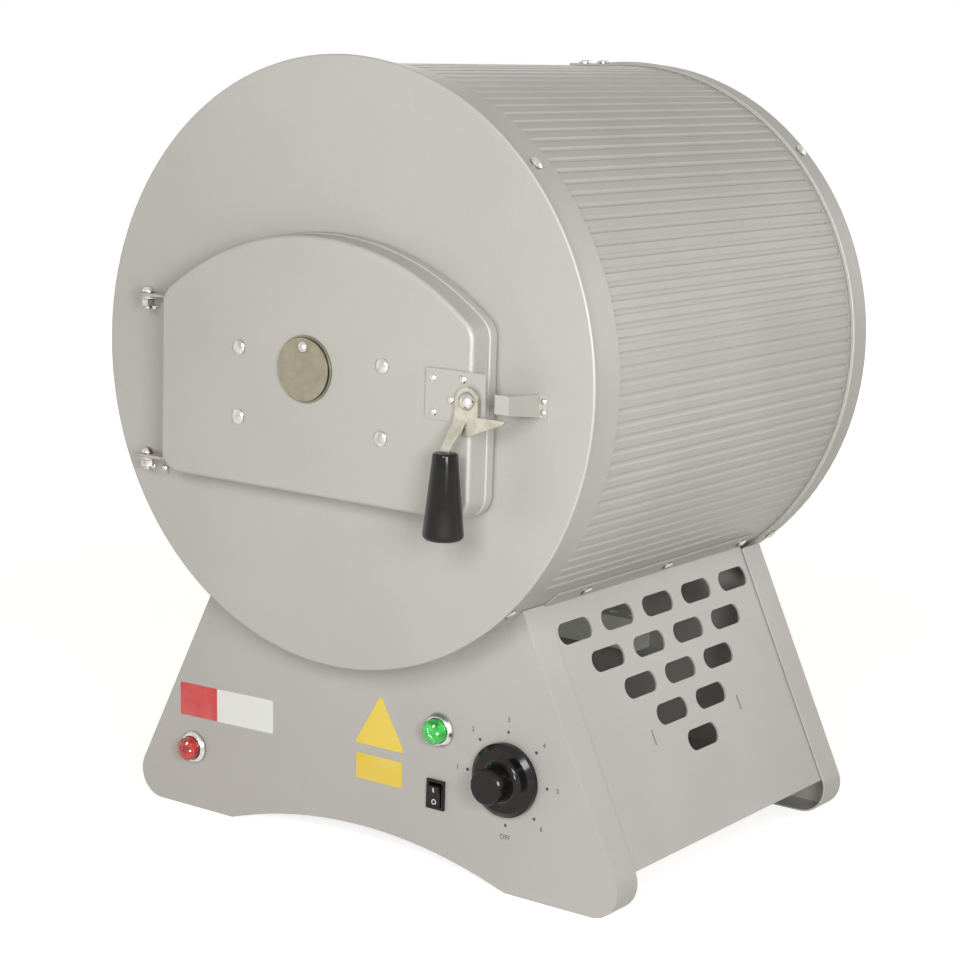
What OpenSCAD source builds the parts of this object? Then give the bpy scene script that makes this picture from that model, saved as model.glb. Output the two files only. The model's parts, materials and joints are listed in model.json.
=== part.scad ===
// Bench muffle furnace: a round sheet-metal drum on a flared base.
// Frame: X to the viewer's right, Y towards the back, Z up, feet on z = 0.
// "Depth" is measured backwards from the front face of the drum, "out" forwards from it,
// and "rise" upwards from the drum's axis.

/* [Drum] */
// Radius of the front plate, whose edge stands out round the rim behind it
cap_r = 205; // [195:1:215]
// Height of the front plate's edge above the rims
plate_lip = 4; // [3:0.5:6]
// Height of the drum's axis above the feet
axis_h = 350; // [345:1:365]
// Thickness of the casing sheet
sheet = 1.5; // [1:0.1:2]
// Bend radius where the rear cap's face turns into its rim
cap_edge_r = 6; // [4:0.5:8]
// Length of the front cap's rim
front_rim = 35; // [30:1:37]
// Length of the rear cap's rim
rear_rim = 26; // [22:1:30]
// Radius of the rolled bead on the rear rim's edge
bead_r = 1.3; // [1:0.1:1.5]
// Distance of the front rim's screws behind the front face
front_screw_in = 19; // [14:1:22]
// Distance of the rear rim's screws from the rear face
rear_screw_in = 13; // [11:1:15]
// Gap between two sheets that lap over each other
lap_gap = 0.2; // [0.1:0.05:0.4]

/* [Ribbed wrap] */
// Pitch of the pressed grooves along the wrap's outside
groove_pitch = 9; // [7:0.5:12]
// Depth of a groove
groove_d = 0.9; // [0.6:0.1:1.1]
// Radius of the groove's round bottom
groove_r = 3; // [2.5:0.1:3.5]
// Thickness of the wrap sheet
wrap_t = 2; // [1.8:0.1:2.5]
// Plain length between the front rim and the grooves
groove_start = 2; // [1:1:8]
// Plain angle each side of the bottom, where the base hides the wrap
plain_half_angle = 46; // [45:1:55]

/* [Base] */
// Depth of the base's front panel behind the drum's face
base_set = 42; // [39:1:48]
// Distance of the base's rear panel from the drum's rear face
rear_set = 22; // [18:1:30]
// Half width of the base where the sloped sides would meet the floor
base_half = 222.8; // [215:0.2:226]
// Inward lean of the sides, as width lost per height
side_lean = 0.475; // [0.45:0.005:0.49]
// Outer corner radius of a foot
foot_r = 20; // [16:1:24]
// Half width of the arch between the feet
arch_half = 122; // [100:1:135]
// Height of the arch
arch_h = 20.4; // [14:0.2:24]
// Width of the lips bent inwards around a panel
lip_w = 26; // [20:1:30]
// Width of the strip that lies on the drum and holds a side panel
strip_w = 15; // [12:1:16]
// Distance from the front panel to the first strip screw
strip_screw_at = 67; // [60:1:75]
// Pitch of the strip screws
strip_screw_pitch = 106; // [90:1:106]

/* [Vent slots] */
// Number of slots in the top row, one fewer in each row below
slot_rows = 5; // [3:1:5]
// Length of a slot
slot_l = 40; // [34:1:44]
// Height of a slot
slot_h = 15; // [10:1:17]
// Pitch of the slots along a row
slot_pitch = 53.4; // [50:0.2:56]
// Pitch of the rows along the slope
slot_row_pitch = 24.8; // [22:0.2:26]
// Distance of the top row below the panel's fold, along the slope
slot_drop = 22; // [18:0.5:28]
// Height of the two short slits
slit_h = 11; // [8:1:14]
// Distance of a slit from the middle of the panel
slit_off = 59; // [52:1:66]

/* [Chamber] */
// Width inside the muffle
chamber_w = 196; // [180:2:204]
// Height inside the muffle at its middle
chamber_h = 132; // [120:1:138]
// Distance of the chamber's floor below the drum's axis
chamber_drop = 62; // [58:1:66]
// Length of the chamber inside the muffle
chamber_d = 280; // [240:2:284]
// Wall of the ceramic muffle
muffle_wall = 10; // [8:1:12]
// Thickness of the fibre collar round the mouth
collar_t = 40; // [36:1:46]
// Thickness of the fibre board behind the muffle
rear_board_t = 48; // [36:1:56]
// Step from the chamber's wall out to the mouth's wall
mouth_step = 6; // [5:0.5:8]
// Thickness of the heating wire
coil_t = 5; // [4:0.5:6]
// Number of turns of the heating coil
coil_turns = 10; // [6:1:12]

/* [Door] */
// How far the door's front stands out from the drum's face
door_out = 27.5; // [26:0.5:29]
// How far the front pan's wall reaches back
pan_wall = 18; // [16.5:0.5:19]
// Radius of the pan's front edge
pan_edge_r = 3; // [2:0.5:4]
// Land between the mouth and the door's side edge
door_side_land = 27; // [24:1:30]
// Land between the mouth and the door's top edge
door_top_land = 12.5; // [12:0.5:15]
// Land between the mouth and the door's bottom edge
door_bottom_land = 15; // [14:0.5:18]
// Radius of the door's arched top
door_arch_r = 200; // [190:1:260]
// Radius of the door's corners
door_corner_r = 15; // [10:1:20]
// Gap between the insulating plug and the mouth
plug_gap = 4.5; // [4.2:0.1:5]
// Half pitch of the door screws, sideways
door_screw_dx = 60.5; // [50:0.5:66]
// Rise of the door screws' middle, negative is below the axis
door_screw_mid = -13.8; // [-20:0.2:-8]
// Half pitch of the door screws, up and down
door_screw_dz = 23.5; // [20:0.5:28]

/* [Peephole] */
// Sideways place of the peephole
peep_x = -3; // [-10:0.5:10]
// Rise of the peephole above the drum's axis
peep_rise = 1; // [-4:0.5:6]
// Radius of the hole inside the tube
peep_r = 10; // [7:0.5:12]
// Radius of the tube's flange
peep_flange_r = 22.5; // [21:0.5:25]
// Radius of the swinging cover
cover_r = 21; // [19:0.5:23]
// Distance of the cover's pivot above the cover's middle
cover_pivot_up = 15; // [14:0.5:17]
// Thickness of the cover
cover_t = 1.5; // [1:0.1:2]

/* [Hinges] */
// Distance of the hinge pins from the drum's axis, sideways
hinge_x = 155; // [153:0.5:160]
// How far the hinge pins stand out from the drum's face
hinge_out = 14.5; // [13:0.5:16]
// Radius of a hinge bolt
hinge_bolt_r = 2.5; // [2:0.1:3]
// Thickness of the hinge plates
hinge_t = 2; // [1.5:0.1:2.5]
// Rise of the upper hinge's joint
hinge_top_rise = 35; // [28:1:38]
// Drop of the lower hinge's joint
hinge_low_drop = 78; // [70:1:78]
// Running clearance of a pin in its hole
pin_gap = 0.05; // [0.02:0.01:0.1]

/* [Latch] */
// Distance of the latch pivot from the drum's axis, sideways
latch_x = 132; // [131:0.5:134]
// Drop of the latch pivot below the drum's axis
latch_drop = 4; // [2:0.5:6]
// Radius of the pivot bolt
latch_bolt_r = 2.5; // [2:0.1:3]
// Thickness of the lever
lever_t = 2.5; // [2:0.1:3]
// Radius of the lever's boss
boss_r = 8.7; // [8:0.1:9]
// Reach of the lever's finger from the pivot
finger_reach = 30; // [28:1:34]
// Length of the grip
grip_l = 55.5; // [45:0.5:70]
// Radius of the grip at its thin upper end
grip_top_r = 8.2; // [7:0.1:9]
// Radius of the grip at its thick lower end
grip_low_r = 13.3; // [11:0.1:14]
// How far the grip's axis stands out from the door's front
grip_clear = 17; // [17:0.5:21]

/* [Controls] */
// Sideways place of the regulator knob
knob_x = 121; // [112:0.5:126]
// Height of the regulator knob
knob_z = 80.5; // [72:0.5:92]
// Radius of the knob's skirt
knob_r = 25.5; // [22:0.5:27]
// Radius of the knob's grip
knob_grip_r = 12.2; // [11:0.1:13]
// Height of the knob with its grip
knob_h = 25; // [22:1:30]
// Radius of the regulator's shaft
shaft_r = 3; // [2.5:0.1:4]
// Sideways place of the rocker switch
switch_x = 63; // [56:0.5:68]
// Height of the rocker switch
switch_z = 57.5; // [50:0.5:66]
// Width of the switch bezel
switch_w = 15; // [14:0.5:18]
// Height of the switch bezel
switch_h = 21; // [20:0.5:24]
// Tilt of the rocker to each side
rocker_tilt = 7; // [5:1:9]
// Sideways place of the green lamp
green_x = 64; // [56:0.5:72]
// Height of the green lamp
green_z = 103.5; // [98:0.5:108]
// Distance of the red lamp to the left of the middle
red_x = 159.5; // [150:0.5:168]
// Height of the red lamp
red_z = 46; // [42:0.5:52]
// Radius of a lamp's lens
lens_r = 8.5; // [7:0.5:10]
// Radius of a lamp's bezel
bezel_r = 12; // [11:0.5:14]
// How far a lamp's lens stands out from the panel
lens_out = 13; // [10:0.5:16]

/* [Hidden] */
$fn = 96;

// Small gap between pieces that meet but are not joined
fit = 0.1;
// Overlap that lets a cut pass cleanly through a surface
cut = 1;
// Facets of the outlines that are blended with hull
blend_fn = 40;

// Depths, measured from the front face
collar_end = sheet + collar_t;
muffle_len = chamber_d + muffle_wall;
muffle_end = collar_end + fit + muffle_len;
drum_len = muffle_end + rear_board_t + sheet;
base_len = drum_len - base_set - rear_set;

// The whole part is centred front to back
grip_out = door_out + grip_clear;
gland_out = 22;
front_most = grip_out + grip_low_r;
rear_most = max(base_set + base_len + gland_out, drum_len);
face_y = (front_most - rear_most) / 2;
base_y = face_y + base_set;

// Drum and wrap
groove_margin = 1;
bead_gap = 0.5;
rim_r = cap_r - plate_lip;
wrap_r = rim_r - sheet - lap_gap;
wrap_in = wrap_r - wrap_t;
fill_r = wrap_in - fit;
rear_inner = drum_len - sheet;
groove_end = drum_len - rear_rim - bead_r - groove_margin;
groove_angle = groove_pitch / wrap_r * 180 / PI;
groove_count = floor((360 - 2 * plain_half_angle) / groove_angle / 2);

// Places of the controls on the base's front panel
knob_at = [knob_x, knob_z];
switch_at = [switch_x, switch_z];
green_at = [green_x, green_z];
red_at = [-red_x, red_z];

// Base outline
slope = sqrt(1 + side_lean * side_lean);
side_tilt = atan(side_lean);
foot_x = base_half - foot_r * slope - side_lean * foot_r;
front_saddle_r = wrap_r + lap_gap;
rear_saddle_r = rim_r + bead_r + bead_gap;
strip_r = wrap_r + lap_gap;
tuck = sheet + fit;
floor_z = foot_r + foot_r * side_lean / slope;

// Chamber and mouth
chamber_corner_r = 12;
mouth_corner_r = chamber_corner_r + 2;
chamber_half = chamber_w / 2;
chamber_top = chamber_h - chamber_drop;
mouth_half = chamber_half + mouth_step;
mouth_top = chamber_top + mouth_step;
mouth_drop = chamber_drop + mouth_step;
coil_gap = 0.3;
cavity = muffle_wall + coil_gap + coil_t + coil_gap;

// Door
door_half = mouth_half + door_side_land;
door_top = mouth_top + door_top_land;
door_drop = mouth_drop + door_bottom_land;
arch_rise = door_top - door_arch_r;
pan_back = door_out - pan_wall;
plate_back = 2;
frame_edge_r = 1.5;
frame_step = 0.8;
seal_gap = 0.3;
seal_from = 2;
seal_to = 8;
plug_end = collar_t - 2;
plug_taper = 2;

// Peephole: the cover swings just in front of the tube's flange
peep_wall = 1.5;
flange_out = door_out + 1.5;
cover_out = flange_out + 0.3;
cover_screw_r = 2;
cover_screw_l = 7;

// Latch planes
latch_plate_t = 2;
lever_gap = 1.8;
lever_back = door_out + latch_plate_t + lever_gap;
lever_front = lever_back + lever_t;
keeper_gap = 0.6;
keeper_leg_x = latch_x + finger_reach + 2;
grip_drop = 32;
grip_lean = -7;

// Screw heads: radius and height
small_head = [4, 2.4];
strap_head = [4.5, 3];
cover_head = [4, 2.6];
bolt_head = [5.8, 4.4];
rivet_head = [2.8, 1.4];
small_rivet_head = [2.2, 1.2];
small_rivet_r = 1.2;

// Length of the holes drilled for screws through the casing and through the door's skin
casing_drill = 8;
skin_drill = 10;

// Top strap
strap_w = 13;
strap_from = 278;
strap_len = 46;
strap_screw_pitch = 25;
strap_t = 1.5;

// Placing helpers

// Extrudes an outline drawn in (x, rise) from one depth to another
module slab(from, to)
    translate([0, face_y + to, axis_h]) rotate([90, 0, 0]) linear_extrude(to - from) children();

// Extrudes an outline drawn in (x, z) between two depths behind the base's front
module base_slab(from, to)
    translate([0, base_y + to, 0]) rotate([90, 0, 0]) linear_extrude(to - from) children();

// Hole along Z through a thin skin, centred on z = 0
module skin_hole(shank_r)
    translate([0, 0, -skin_drill / 2]) cylinder(r = shank_r + fit, h = skin_drill);

// Turns a shape made along Z so that Z points backwards from the drum's face
module along_axis(depth = 0)
    translate([0, face_y + depth, axis_h]) rotate([-90, 0, 0]) children();

// Places a shape made along Z so that Z points forwards, out of the drum's face
module facing(x, rise, out)
    translate([x, face_y - out, axis_h + rise]) rotate([90, 0, 0]) children();

// Places a shape made along Z so that Z points forwards, out of the base's front panel
module on_panel(at, out = 0)
    translate([at[0], base_y - out, at[1]]) rotate([90, 0, 0]) children();

// Places a shape made along Z on the drum, at an angle from the top and a radius
module on_drum(angle, depth, radius)
    translate([0, face_y + depth, axis_h]) rotate([0, angle, 0])
    translate([0, 0, radius]) children();

// Lays an outline drawn in (depth, distance up the slope) on the right side's outer plane
module on_slope(inset, thickness)
    translate([base_half, base_y, 0]) rotate([0, -side_tilt, 0]) rotate([90, 0, 90])
    translate([0, 0, -inset - thickness]) linear_extrude(thickness) children();

// Puts two mirrored copies of a shape left and right
module both_sides() {
    children();
    mirror([1, 0, 0]) children();
}

// Shared shapes

// Round-headed fastener along Z: its shank reaches down from z = 0, its head stands up
module dome_screw(head, shank_r, shank_l) {
    head_r = head[0];
    head_h = head[1];
    ball_r = (head_r * head_r + head_h * head_h) / (2 * head_h);
    intersection() {
        translate([0, 0, head_h - ball_r]) sphere(ball_r);
        cylinder(r = head_r, h = head_h);
    }
    translate([0, 0, -shank_l]) cylinder(r = shank_r, h = shank_l + head_h / 2);
}

// Doorway outline: flat bottom, straight sides and an arched top on a common centre
module doorway(half, drop, top, corner) {
    r = top - arch_rise;
    cx = half - corner;
    cz = arch_rise + sqrt((r - corner) * (r - corner) - cx * cx);
    reach = 2 * r / (r - corner);
    intersection() {
        translate([0, arch_rise]) circle(r, $fn = 4 * $fn);
        translate([-half, -drop]) square([2 * half, top + drop]);
        polygon([[0, arch_rise], [cx * reach, arch_rise + (cz - arch_rise) * reach],
            [-cx * reach, arch_rise + (cz - arch_rise) * reach]]);
    }
    translate([-half, corner - drop]) square([2 * half, cz + drop - corner]);
    translate([-cx, -drop]) square([2 * cx, cz + drop]);
    for (x = [-cx, cx], z = [corner - drop, cz]) translate([x, z]) circle(corner);
}

// The doorway outline grown evenly by a wall
module doorway_grown(half, drop, top, corner, wall)
    doorway(half + wall, drop + wall, top + wall, corner + wall);

module chamber_outline(wall = 0)
    doorway_grown(chamber_half, chamber_drop, chamber_top, chamber_corner_r, wall);

module mouth_outline(wall = 0)
    doorway_grown(mouth_half, mouth_drop, mouth_top, mouth_corner_r, wall);

module door_outline(wall = 0)
    doorway_grown(door_half, door_drop, door_top, door_corner_r, wall);

// Solid door slab with a rounded front edge, grown by a wall, between two distances out
module rounded_door(back, front, edge_r, wall = 0) {
    steps = 4;
    hull() {
        slab(-front + edge_r, -back) door_outline(wall, $fn = blend_fn);
        for (i = [0:steps - 1]) {
            a = 90 * (i + 1) / steps;
            slab(-front + edge_r - edge_r * sin(a), -back)
                door_outline(wall - edge_r * (1 - cos(a)), $fn = blend_fn);
        }
    }
}

// Drum

// Front plate with its edge folded back on itself, and the rim behind it
module front_shell() rotate_extrude($fn = 180) {
    square([cap_r - sheet, sheet]);
    translate([rim_r - sheet, 0]) square([cap_r - rim_r, 2 * sheet]);
    translate([cap_r - sheet, sheet]) intersection() {
        circle(sheet);
        translate([0, -sheet]) square([sheet, 2 * sheet]);
    }
    translate([rim_r - sheet, 0]) square([sheet, front_rim]);
}

// Rear disc whose bent edge runs into a rim with a rolled bead
module rear_shell() rotate_extrude($fn = 180) {
    bend_r = rim_r - cap_edge_r;
    difference() {
        union() {
            square([bend_r, cap_edge_r]);
            translate([0, cap_edge_r]) square([rim_r, rear_rim - cap_edge_r]);
            translate([bend_r, cap_edge_r]) circle(cap_edge_r);
        }
        translate([0, cap_edge_r]) square([rim_r - sheet, rear_rim]);
        translate([0, sheet]) square([bend_r, rear_rim]);
        translate([bend_r, cap_edge_r]) circle(cap_edge_r - sheet);
        translate([-rim_r, -rim_r]) square([rim_r, 3 * rim_r]);
    }
    difference() {
        translate([rim_r, rear_rim - bead_r]) circle(bead_r, $fn = 24);
        square([rim_r - sheet / 2, 2 * rear_rim]);
    }
}

cap_screw_angles = [45, 138, 222, 315];
cap_screw_depths = [front_screw_in, drum_len - rear_screw_in];
cap_shank_r = 1.9;

// Shank-sized holes on the drum for every cap screw
module cap_screw_holes()
    for (a = cap_screw_angles, depth = cap_screw_depths)
        on_drum(a, depth, wrap_in - cut) cylinder(r = cap_shank_r + fit, h = casing_drill);

module front_cap() color("lightgray") difference() {
    along_axis() front_shell();
    slab(-cut, sheet + cut) mouth_outline();
    cap_screw_holes();
}

module rear_cap() color("lightgray") difference() {
    translate([0, 2 * face_y + drum_len, 0]) mirror([0, 1, 0])
        along_axis() rear_shell();
    cap_screw_holes();
}

// Grooves pressed lengthwise into the wrap, left plain under the rims and above the base
module wrap_grooves() {
    length = groove_end - front_rim - groove_start;
    centre_r = wrap_r - groove_d + groove_r;
    for (i = [-groove_count:groove_count])
        translate([0, face_y + front_rim + groove_start, axis_h]) rotate([0, i * groove_angle, 0])
            translate([0, 0, centre_r]) rotate([-90, 0, 0])
            cylinder(r = groove_r, h = length, $fn = 24);
}

module drum_wrap() color("darkgray") difference() {
    along_axis(sheet + fit)
        cylinder(r = wrap_r, h = drum_len - cap_edge_r - sheet - fit, $fn = 180);
    along_axis() cylinder(r = wrap_in, h = drum_len, $fn = 180);
    wrap_grooves();
    cap_screw_holes();
    side_screw_holes();
    strap_screw_holes();
    lead_holes();
}

// Screws through the rims of both caps
module cap_screws() color("silver")
    for (a = cap_screw_angles, depth = cap_screw_depths)
        on_drum(a, depth, rim_r) dome_screw(small_head, cap_shank_r, rim_r - wrap_in - fit);

strap_screw_at = [for (i = [-0.5, 0.5]) strap_from + strap_len / 2 + i * strap_screw_pitch];
strap_shank_r = 2;

module strap_screw_holes()
    for (depth = strap_screw_at)
        on_drum(0, depth, wrap_in - cut) cylinder(r = strap_shank_r + fit, h = casing_drill);

// Lap plate on top of the drum, over the wrap's seam
module top_strap() color("lightgray") difference() {
    on_drum(0, strap_from, wrap_r) translate([-strap_w / 2, 0, 0])
        cube([strap_w, strap_len, strap_t]);
    strap_screw_holes();
}

module strap_screws() color("silver")
    for (depth = strap_screw_at)
        on_drum(0, depth, wrap_r + strap_t)
        dome_screw(strap_head, strap_shank_r, strap_t + wrap_t - fit);

// Base

// Height at which the sloped side, set in by a distance, meets a circle about the axis
function fold_z(r, inset) =
    let (
        x0 = base_half - inset * slope,
        b = x0 * side_lean + axis_h,
        c = x0 * x0 + axis_h * axis_h - r * r
    ) (b - sqrt(b * b - slope * slope * c)) / (slope * slope);

// Panel outline in (x, z), drawn in by an inset: sloped sides, round feet, arch and saddle
module base_outline(saddle_r, inset = 0) {
    corner = foot_r - inset;
    side_x = base_half - inset * slope;
    top_z = fold_z(saddle_r, inset);
    nx = foot_x + corner / slope;
    nz = foot_r + corner * side_lean / slope;
    arch_r = (arch_half * arch_half + arch_h * arch_h) / (2 * arch_h);
    difference() {
        union() {
            polygon([[-foot_x, inset], [foot_x, inset], [nx, nz],
                [side_x - side_lean * top_z, top_z], [side_lean * top_z - side_x, top_z],
                [-nx, nz]]);
            for (x = [-foot_x, foot_x]) translate([x, foot_r]) circle(corner);
        }
        translate([0, axis_h]) circle(saddle_r, $fn = 180);
        translate([0, arch_h - arch_r]) circle(arch_r + inset, $fn = 360);
    }
}

// Pressed base panel: a face with a lip bent in around the sides, feet and arch
module base_panel(saddle_r) {
    base_slab(0, sheet) base_outline(saddle_r);
    base_slab(0, lip_w) difference() {
        base_outline(saddle_r);
        base_outline(saddle_r, sheet);
    }
}

module base_front_panel() color("lightgray") difference() {
    base_panel(front_saddle_r);
    for (at = [red_at, green_at])
        on_panel(at, -lip_w) cylinder(r = lens_r + lamp_hole_gap, h = lip_w + cut);
    on_panel(knob_at, -lip_w) cylinder(r = bush_r, h = lip_w + cut);
    on_panel(switch_at, -sheet - cut)
        translate([-housing_w / 2 - fit, -housing_h / 2 - fit, 0])
        cube([housing_w + 2 * fit, housing_h + 2 * fit, sheet + 2 * cut]);
}

// The rear panel faces backwards
module behind() translate([0, 2 * base_y + base_len, 0]) mirror([0, 1, 0]) children();

module base_rear_panel() color("lightgray") difference() {
    behind() base_panel(rear_saddle_r);
    gland_place() translate([0, 0, -lip_w]) cylinder(r = gland_thread_r + fit, h = 2 * lip_w);
}

slit_w = 2.2;
slit_row = 3.5;

// One slot with round ends, centred
module slot_outline(length, height) {
    square([length - height, height], center = true);
    for (s = [-1, 1]) translate([s * (length - height) / 2, 0]) circle(height / 2);
}

// Slots in a triangle that stands on its point, and two slits beside it
module vent_outline() {
    mid = base_len / 2;
    top_row = fold_z(strip_r, tuck) * slope - slot_drop;
    for (row = [0:slot_rows - 1], i = [0:slot_rows - 1 - row])
        translate([mid + (i - (slot_rows - 1 - row) / 2) * slot_pitch,
            top_row - row * slot_row_pitch]) slot_outline(slot_l, slot_h);
    for (s = [-1, 1])
        translate([mid + s * slit_off, top_row - slit_row * slot_row_pitch])
        square([slit_w, slit_h], center = true);
}

strip_end_gap = 0.5;
strip_from = lip_w + strip_end_gap;
strip_to = base_len - lip_w - strip_end_gap;
strip_start = acos((axis_h - fold_z(strip_r, tuck)) / strip_r);
strip_angle = strip_w / strip_r * 180 / PI;
strip_lap = asin(2 * sheet / strip_r);
strip_screw_share = 0.55;
strip_screw_angle = strip_start + strip_screw_share * strip_angle;

// Side panel: a slotted sheet on the slope and a strip bent out along the drum
module side_panel() {
    difference() {
        on_slope(tuck, sheet) difference() {
            translate([sheet + fit, floor_z * slope])
                square([base_len - 2 * (sheet + fit), (axis_h - floor_z) * slope]);
            vent_outline();
        }
        along_axis() cylinder(r = strip_r, h = drum_len, $fn = 180);
        for (ends = [[0, strip_from], [strip_to, base_len]])
            along_axis(base_set + ends[0])
            cylinder(r = rear_saddle_r, h = ends[1] - ends[0], $fn = 180);
    }
    difference() {
        slab(base_set + strip_from, base_set + strip_to) intersection() {
            difference() {
                circle(strip_r + sheet, $fn = 180);
                circle(strip_r, $fn = 180);
            }
            polygon([[0, 0], for (a = [-strip_lap, strip_angle])
                2 * cap_r * [sin(strip_start + a), -cos(strip_start + a)]]);
        }
        side_screw_holes();
    }
}

module base_side_right() color("lightgray") side_panel();
module base_side_left() color("lightgray") mirror([1, 0, 0]) side_panel();

side_shank_r = 1.9;
side_screw_at = [for (i = [0:2]) base_set + strip_screw_at + i * strip_screw_pitch];

module side_screw_holes()
    for (a = [180 - strip_screw_angle, 180 + strip_screw_angle], depth = side_screw_at)
        on_drum(a, depth, wrap_in - cut) cylinder(r = side_shank_r + fit, h = casing_drill);

module side_screws() color("silver")
    for (a = [180 - strip_screw_angle, 180 + strip_screw_angle], depth = side_screw_at)
        on_drum(a, depth, strip_r + sheet)
        dome_screw(small_head, side_shank_r, strip_r + sheet - wrap_in - fit);

floor_gap = 0.5;

// Floor sheet that closes the base from below
module base_floor() color("gray") {
    half = base_half - (2 * tuck) * slope - side_lean * (floor_z + sheet) - floor_gap;
    base_slab(sheet, base_len - sheet) translate([-half, floor_z]) square([2 * half, sheet]);
}

// Insulation and muffle

module front_collar() color("beige") difference() {
    along_axis(sheet) cylinder(r = fill_r, h = collar_t, $fn = 180);
    slab(0, collar_end + cut) mouth_outline();
}

module insulation_body() color("beige") difference() {
    along_axis(collar_end) cylinder(r = fill_r, h = muffle_end - collar_end, $fn = 180);
    slab(collar_end - cut, muffle_end + cut) chamber_outline(cavity);
    lead_holes();
}

module rear_board() color("beige") difference() {
    union() {
        along_axis(muffle_end)
            cylinder(r = fill_r, h = drum_len - cap_edge_r - muffle_end, $fn = 180);
        along_axis(muffle_end)
            cylinder(r = rim_r - cap_edge_r, h = rear_inner - muffle_end, $fn = 180);
    }
    sheath_hole();
    sheath_place(rear_inner - sheath_head_h - fit)
        cylinder(r = sheath_head_r + fit, h = sheath_head_h + cut);
}

module muffle() color("linen") difference() {
    slab(collar_end, muffle_end) chamber_outline(muffle_wall);
    slab(collar_end - cut, collar_end + chamber_d) chamber_outline();
    sheath_hole();
}

wire_w = 6;

// Turns of flat heating wire wound round the muffle
module heating_coil() color("peru") {
    pitch = muffle_len / (coil_turns + 1);
    for (i = [1:coil_turns])
        slab(collar_end + i * pitch - wire_w / 2, collar_end + i * pitch + wire_w / 2)
            difference() {
                chamber_outline(muffle_wall + coil_gap + coil_t);
                chamber_outline(muffle_wall + coil_gap);
            }
}

lead_r = 4;
lead_x = 30;
lead_stub = 10;
lead_depth = collar_end + muffle_len * (coil_turns - 0.5) / (coil_turns + 1);

module lead_place() translate([lead_x, face_y + lead_depth, axis_h]) rotate([180, 0, 0]) children();

module lead_holes() both_sides() lead_place()
    translate([0, 0, chamber_drop + cavity - cut]) cylinder(r = lead_r + fit, h = cap_r);

// Ceramic tubes that carry the coil's leads down into the base
module coil_leads() color("white") both_sides() lead_place() difference() {
    top = chamber_drop + muffle_wall + coil_gap;
    translate([0, 0, top]) cylinder(r = lead_r, h = wrap_r + lead_stub - top);
    translate([0, 0, top - cut]) cylinder(r = lead_r / 2, h = cap_r);
}

sheath_r = 3;
sheath_rise = 20;
sheath_head_r = 10;
sheath_head_h = 10;
sheath_reach = 25;

module sheath_place(depth) translate([0, 0, sheath_rise]) along_axis(depth) children();

module sheath_hole() sheath_place(collar_end + chamber_d - cut)
    cylinder(r = sheath_r + fit, h = drum_len - collar_end - chamber_d - sheet);

// Thermocouple sheath through the muffle's rear wall
module thermocouple() color("white") {
    tip = collar_end + chamber_d - sheath_reach;
    sheath_place(tip) cylinder(r = sheath_r, h = rear_inner - sheath_head_h - tip);
    sheath_place(rear_inner - sheath_head_h) cylinder(r = sheath_head_r, h = sheath_head_h);
}

block = [76, 22, 26];
block_z = 96;
block_ways = 4;
block_hole_r = 4;

// Terminal block on the inside of the rear panel
module terminal_block() color("ivory") {
    middle_y = base_y + base_len - sheet - block[1] / 2;
    difference() {
        translate([-block[0] / 2, middle_y - block[1] / 2, block_z]) cube(block);
        for (i = [0:block_ways - 1])
            translate([(i - (block_ways - 1) / 2) * block[0] / block_ways, middle_y,
                block_z + block[2] / 2])
            cylinder(r = block_hole_r, h = block[2]);
    }
}

gland_x = 150;
gland_z = 62;
gland_thread_r = 8;
gland_bore_r = 4;
gland_hex_r = 12;
gland_hex_h = 7;
gland_nut_h = 5;
gland_tail = 10;
gland_dome_h = 5;
gland_dome_r = 13;
gland_step = 1.5;

module gland_place()
    translate([-gland_x, base_y + base_len, gland_z]) rotate([-90, 0, 0]) children();

// Cable gland in the rear panel: hexagon body, domed nut and a nut inside
module cable_gland() color("dimgray") gland_place() difference() {
    union() {
        cylinder(r = gland_hex_r, h = gland_hex_h, $fn = 6);
        cylinder(r = gland_hex_r - gland_step, h = gland_out - gland_dome_h + cut);
        intersection() {
            translate([0, 0, gland_out - gland_dome_h])
                cylinder(r = gland_hex_r - gland_step, h = gland_dome_h);
            translate([0, 0, gland_out - gland_dome_r]) sphere(gland_dome_r);
        }
        translate([0, 0, -gland_tail]) cylinder(r = gland_thread_r, h = gland_tail + cut);
        translate([0, 0, -sheet - gland_nut_h])
            cylinder(r = gland_hex_r, h = gland_nut_h, $fn = 6);
    }
    translate([0, 0, -gland_tail - cut])
        cylinder(r = gland_bore_r, h = gland_out + gland_tail + 2 * cut);
}

// Hinges

hinge_rises = [hinge_top_rise, -hinge_low_drop];
hinge_lug_r = 6;
leaf_len = 38;
leaf_set = 1;
bracket_left = 10;
bracket_w = 17;
bracket_h = 12;
bracket_rivet_drop = 7.5;
hinge_head = [4.6, 4.5];
hinge_nut_h = 5;
hinge_tail = 2;

// Fixed bracket below each hinge joint: a foot on the drum and a lug under the door's lug
module hinge_brackets() color("silver")
    for (rise = hinge_rises) difference() {
        translate([-hinge_x, face_y, axis_h + rise]) {
            translate([-bracket_left, -sheet, -hinge_t - bracket_h])
                cube([bracket_w, sheet, bracket_h + hinge_t]);
            translate([-hinge_lug_r, -hinge_out, -hinge_t]) cube([2 * hinge_lug_r, hinge_out, hinge_t]);
            translate([0, -hinge_out, -hinge_t]) cylinder(r = hinge_lug_r, h = hinge_t);
        }
        translate([-hinge_x, face_y - hinge_out, axis_h + rise - 2 * hinge_t])
            cylinder(r = hinge_bolt_r + pin_gap, h = 3 * hinge_t);
        bracket_rivet_places() skin_hole(small_rivet_r);
    }

module bracket_rivet_places()
    for (rise = hinge_rises, x = [-7, 4])
        facing(x - hinge_x, rise - hinge_t - bracket_rivet_drop, sheet) children();

module bracket_rivets() color("silver")
    bracket_rivet_places() dome_screw(small_rivet_head, small_rivet_r, sheet);

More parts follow.
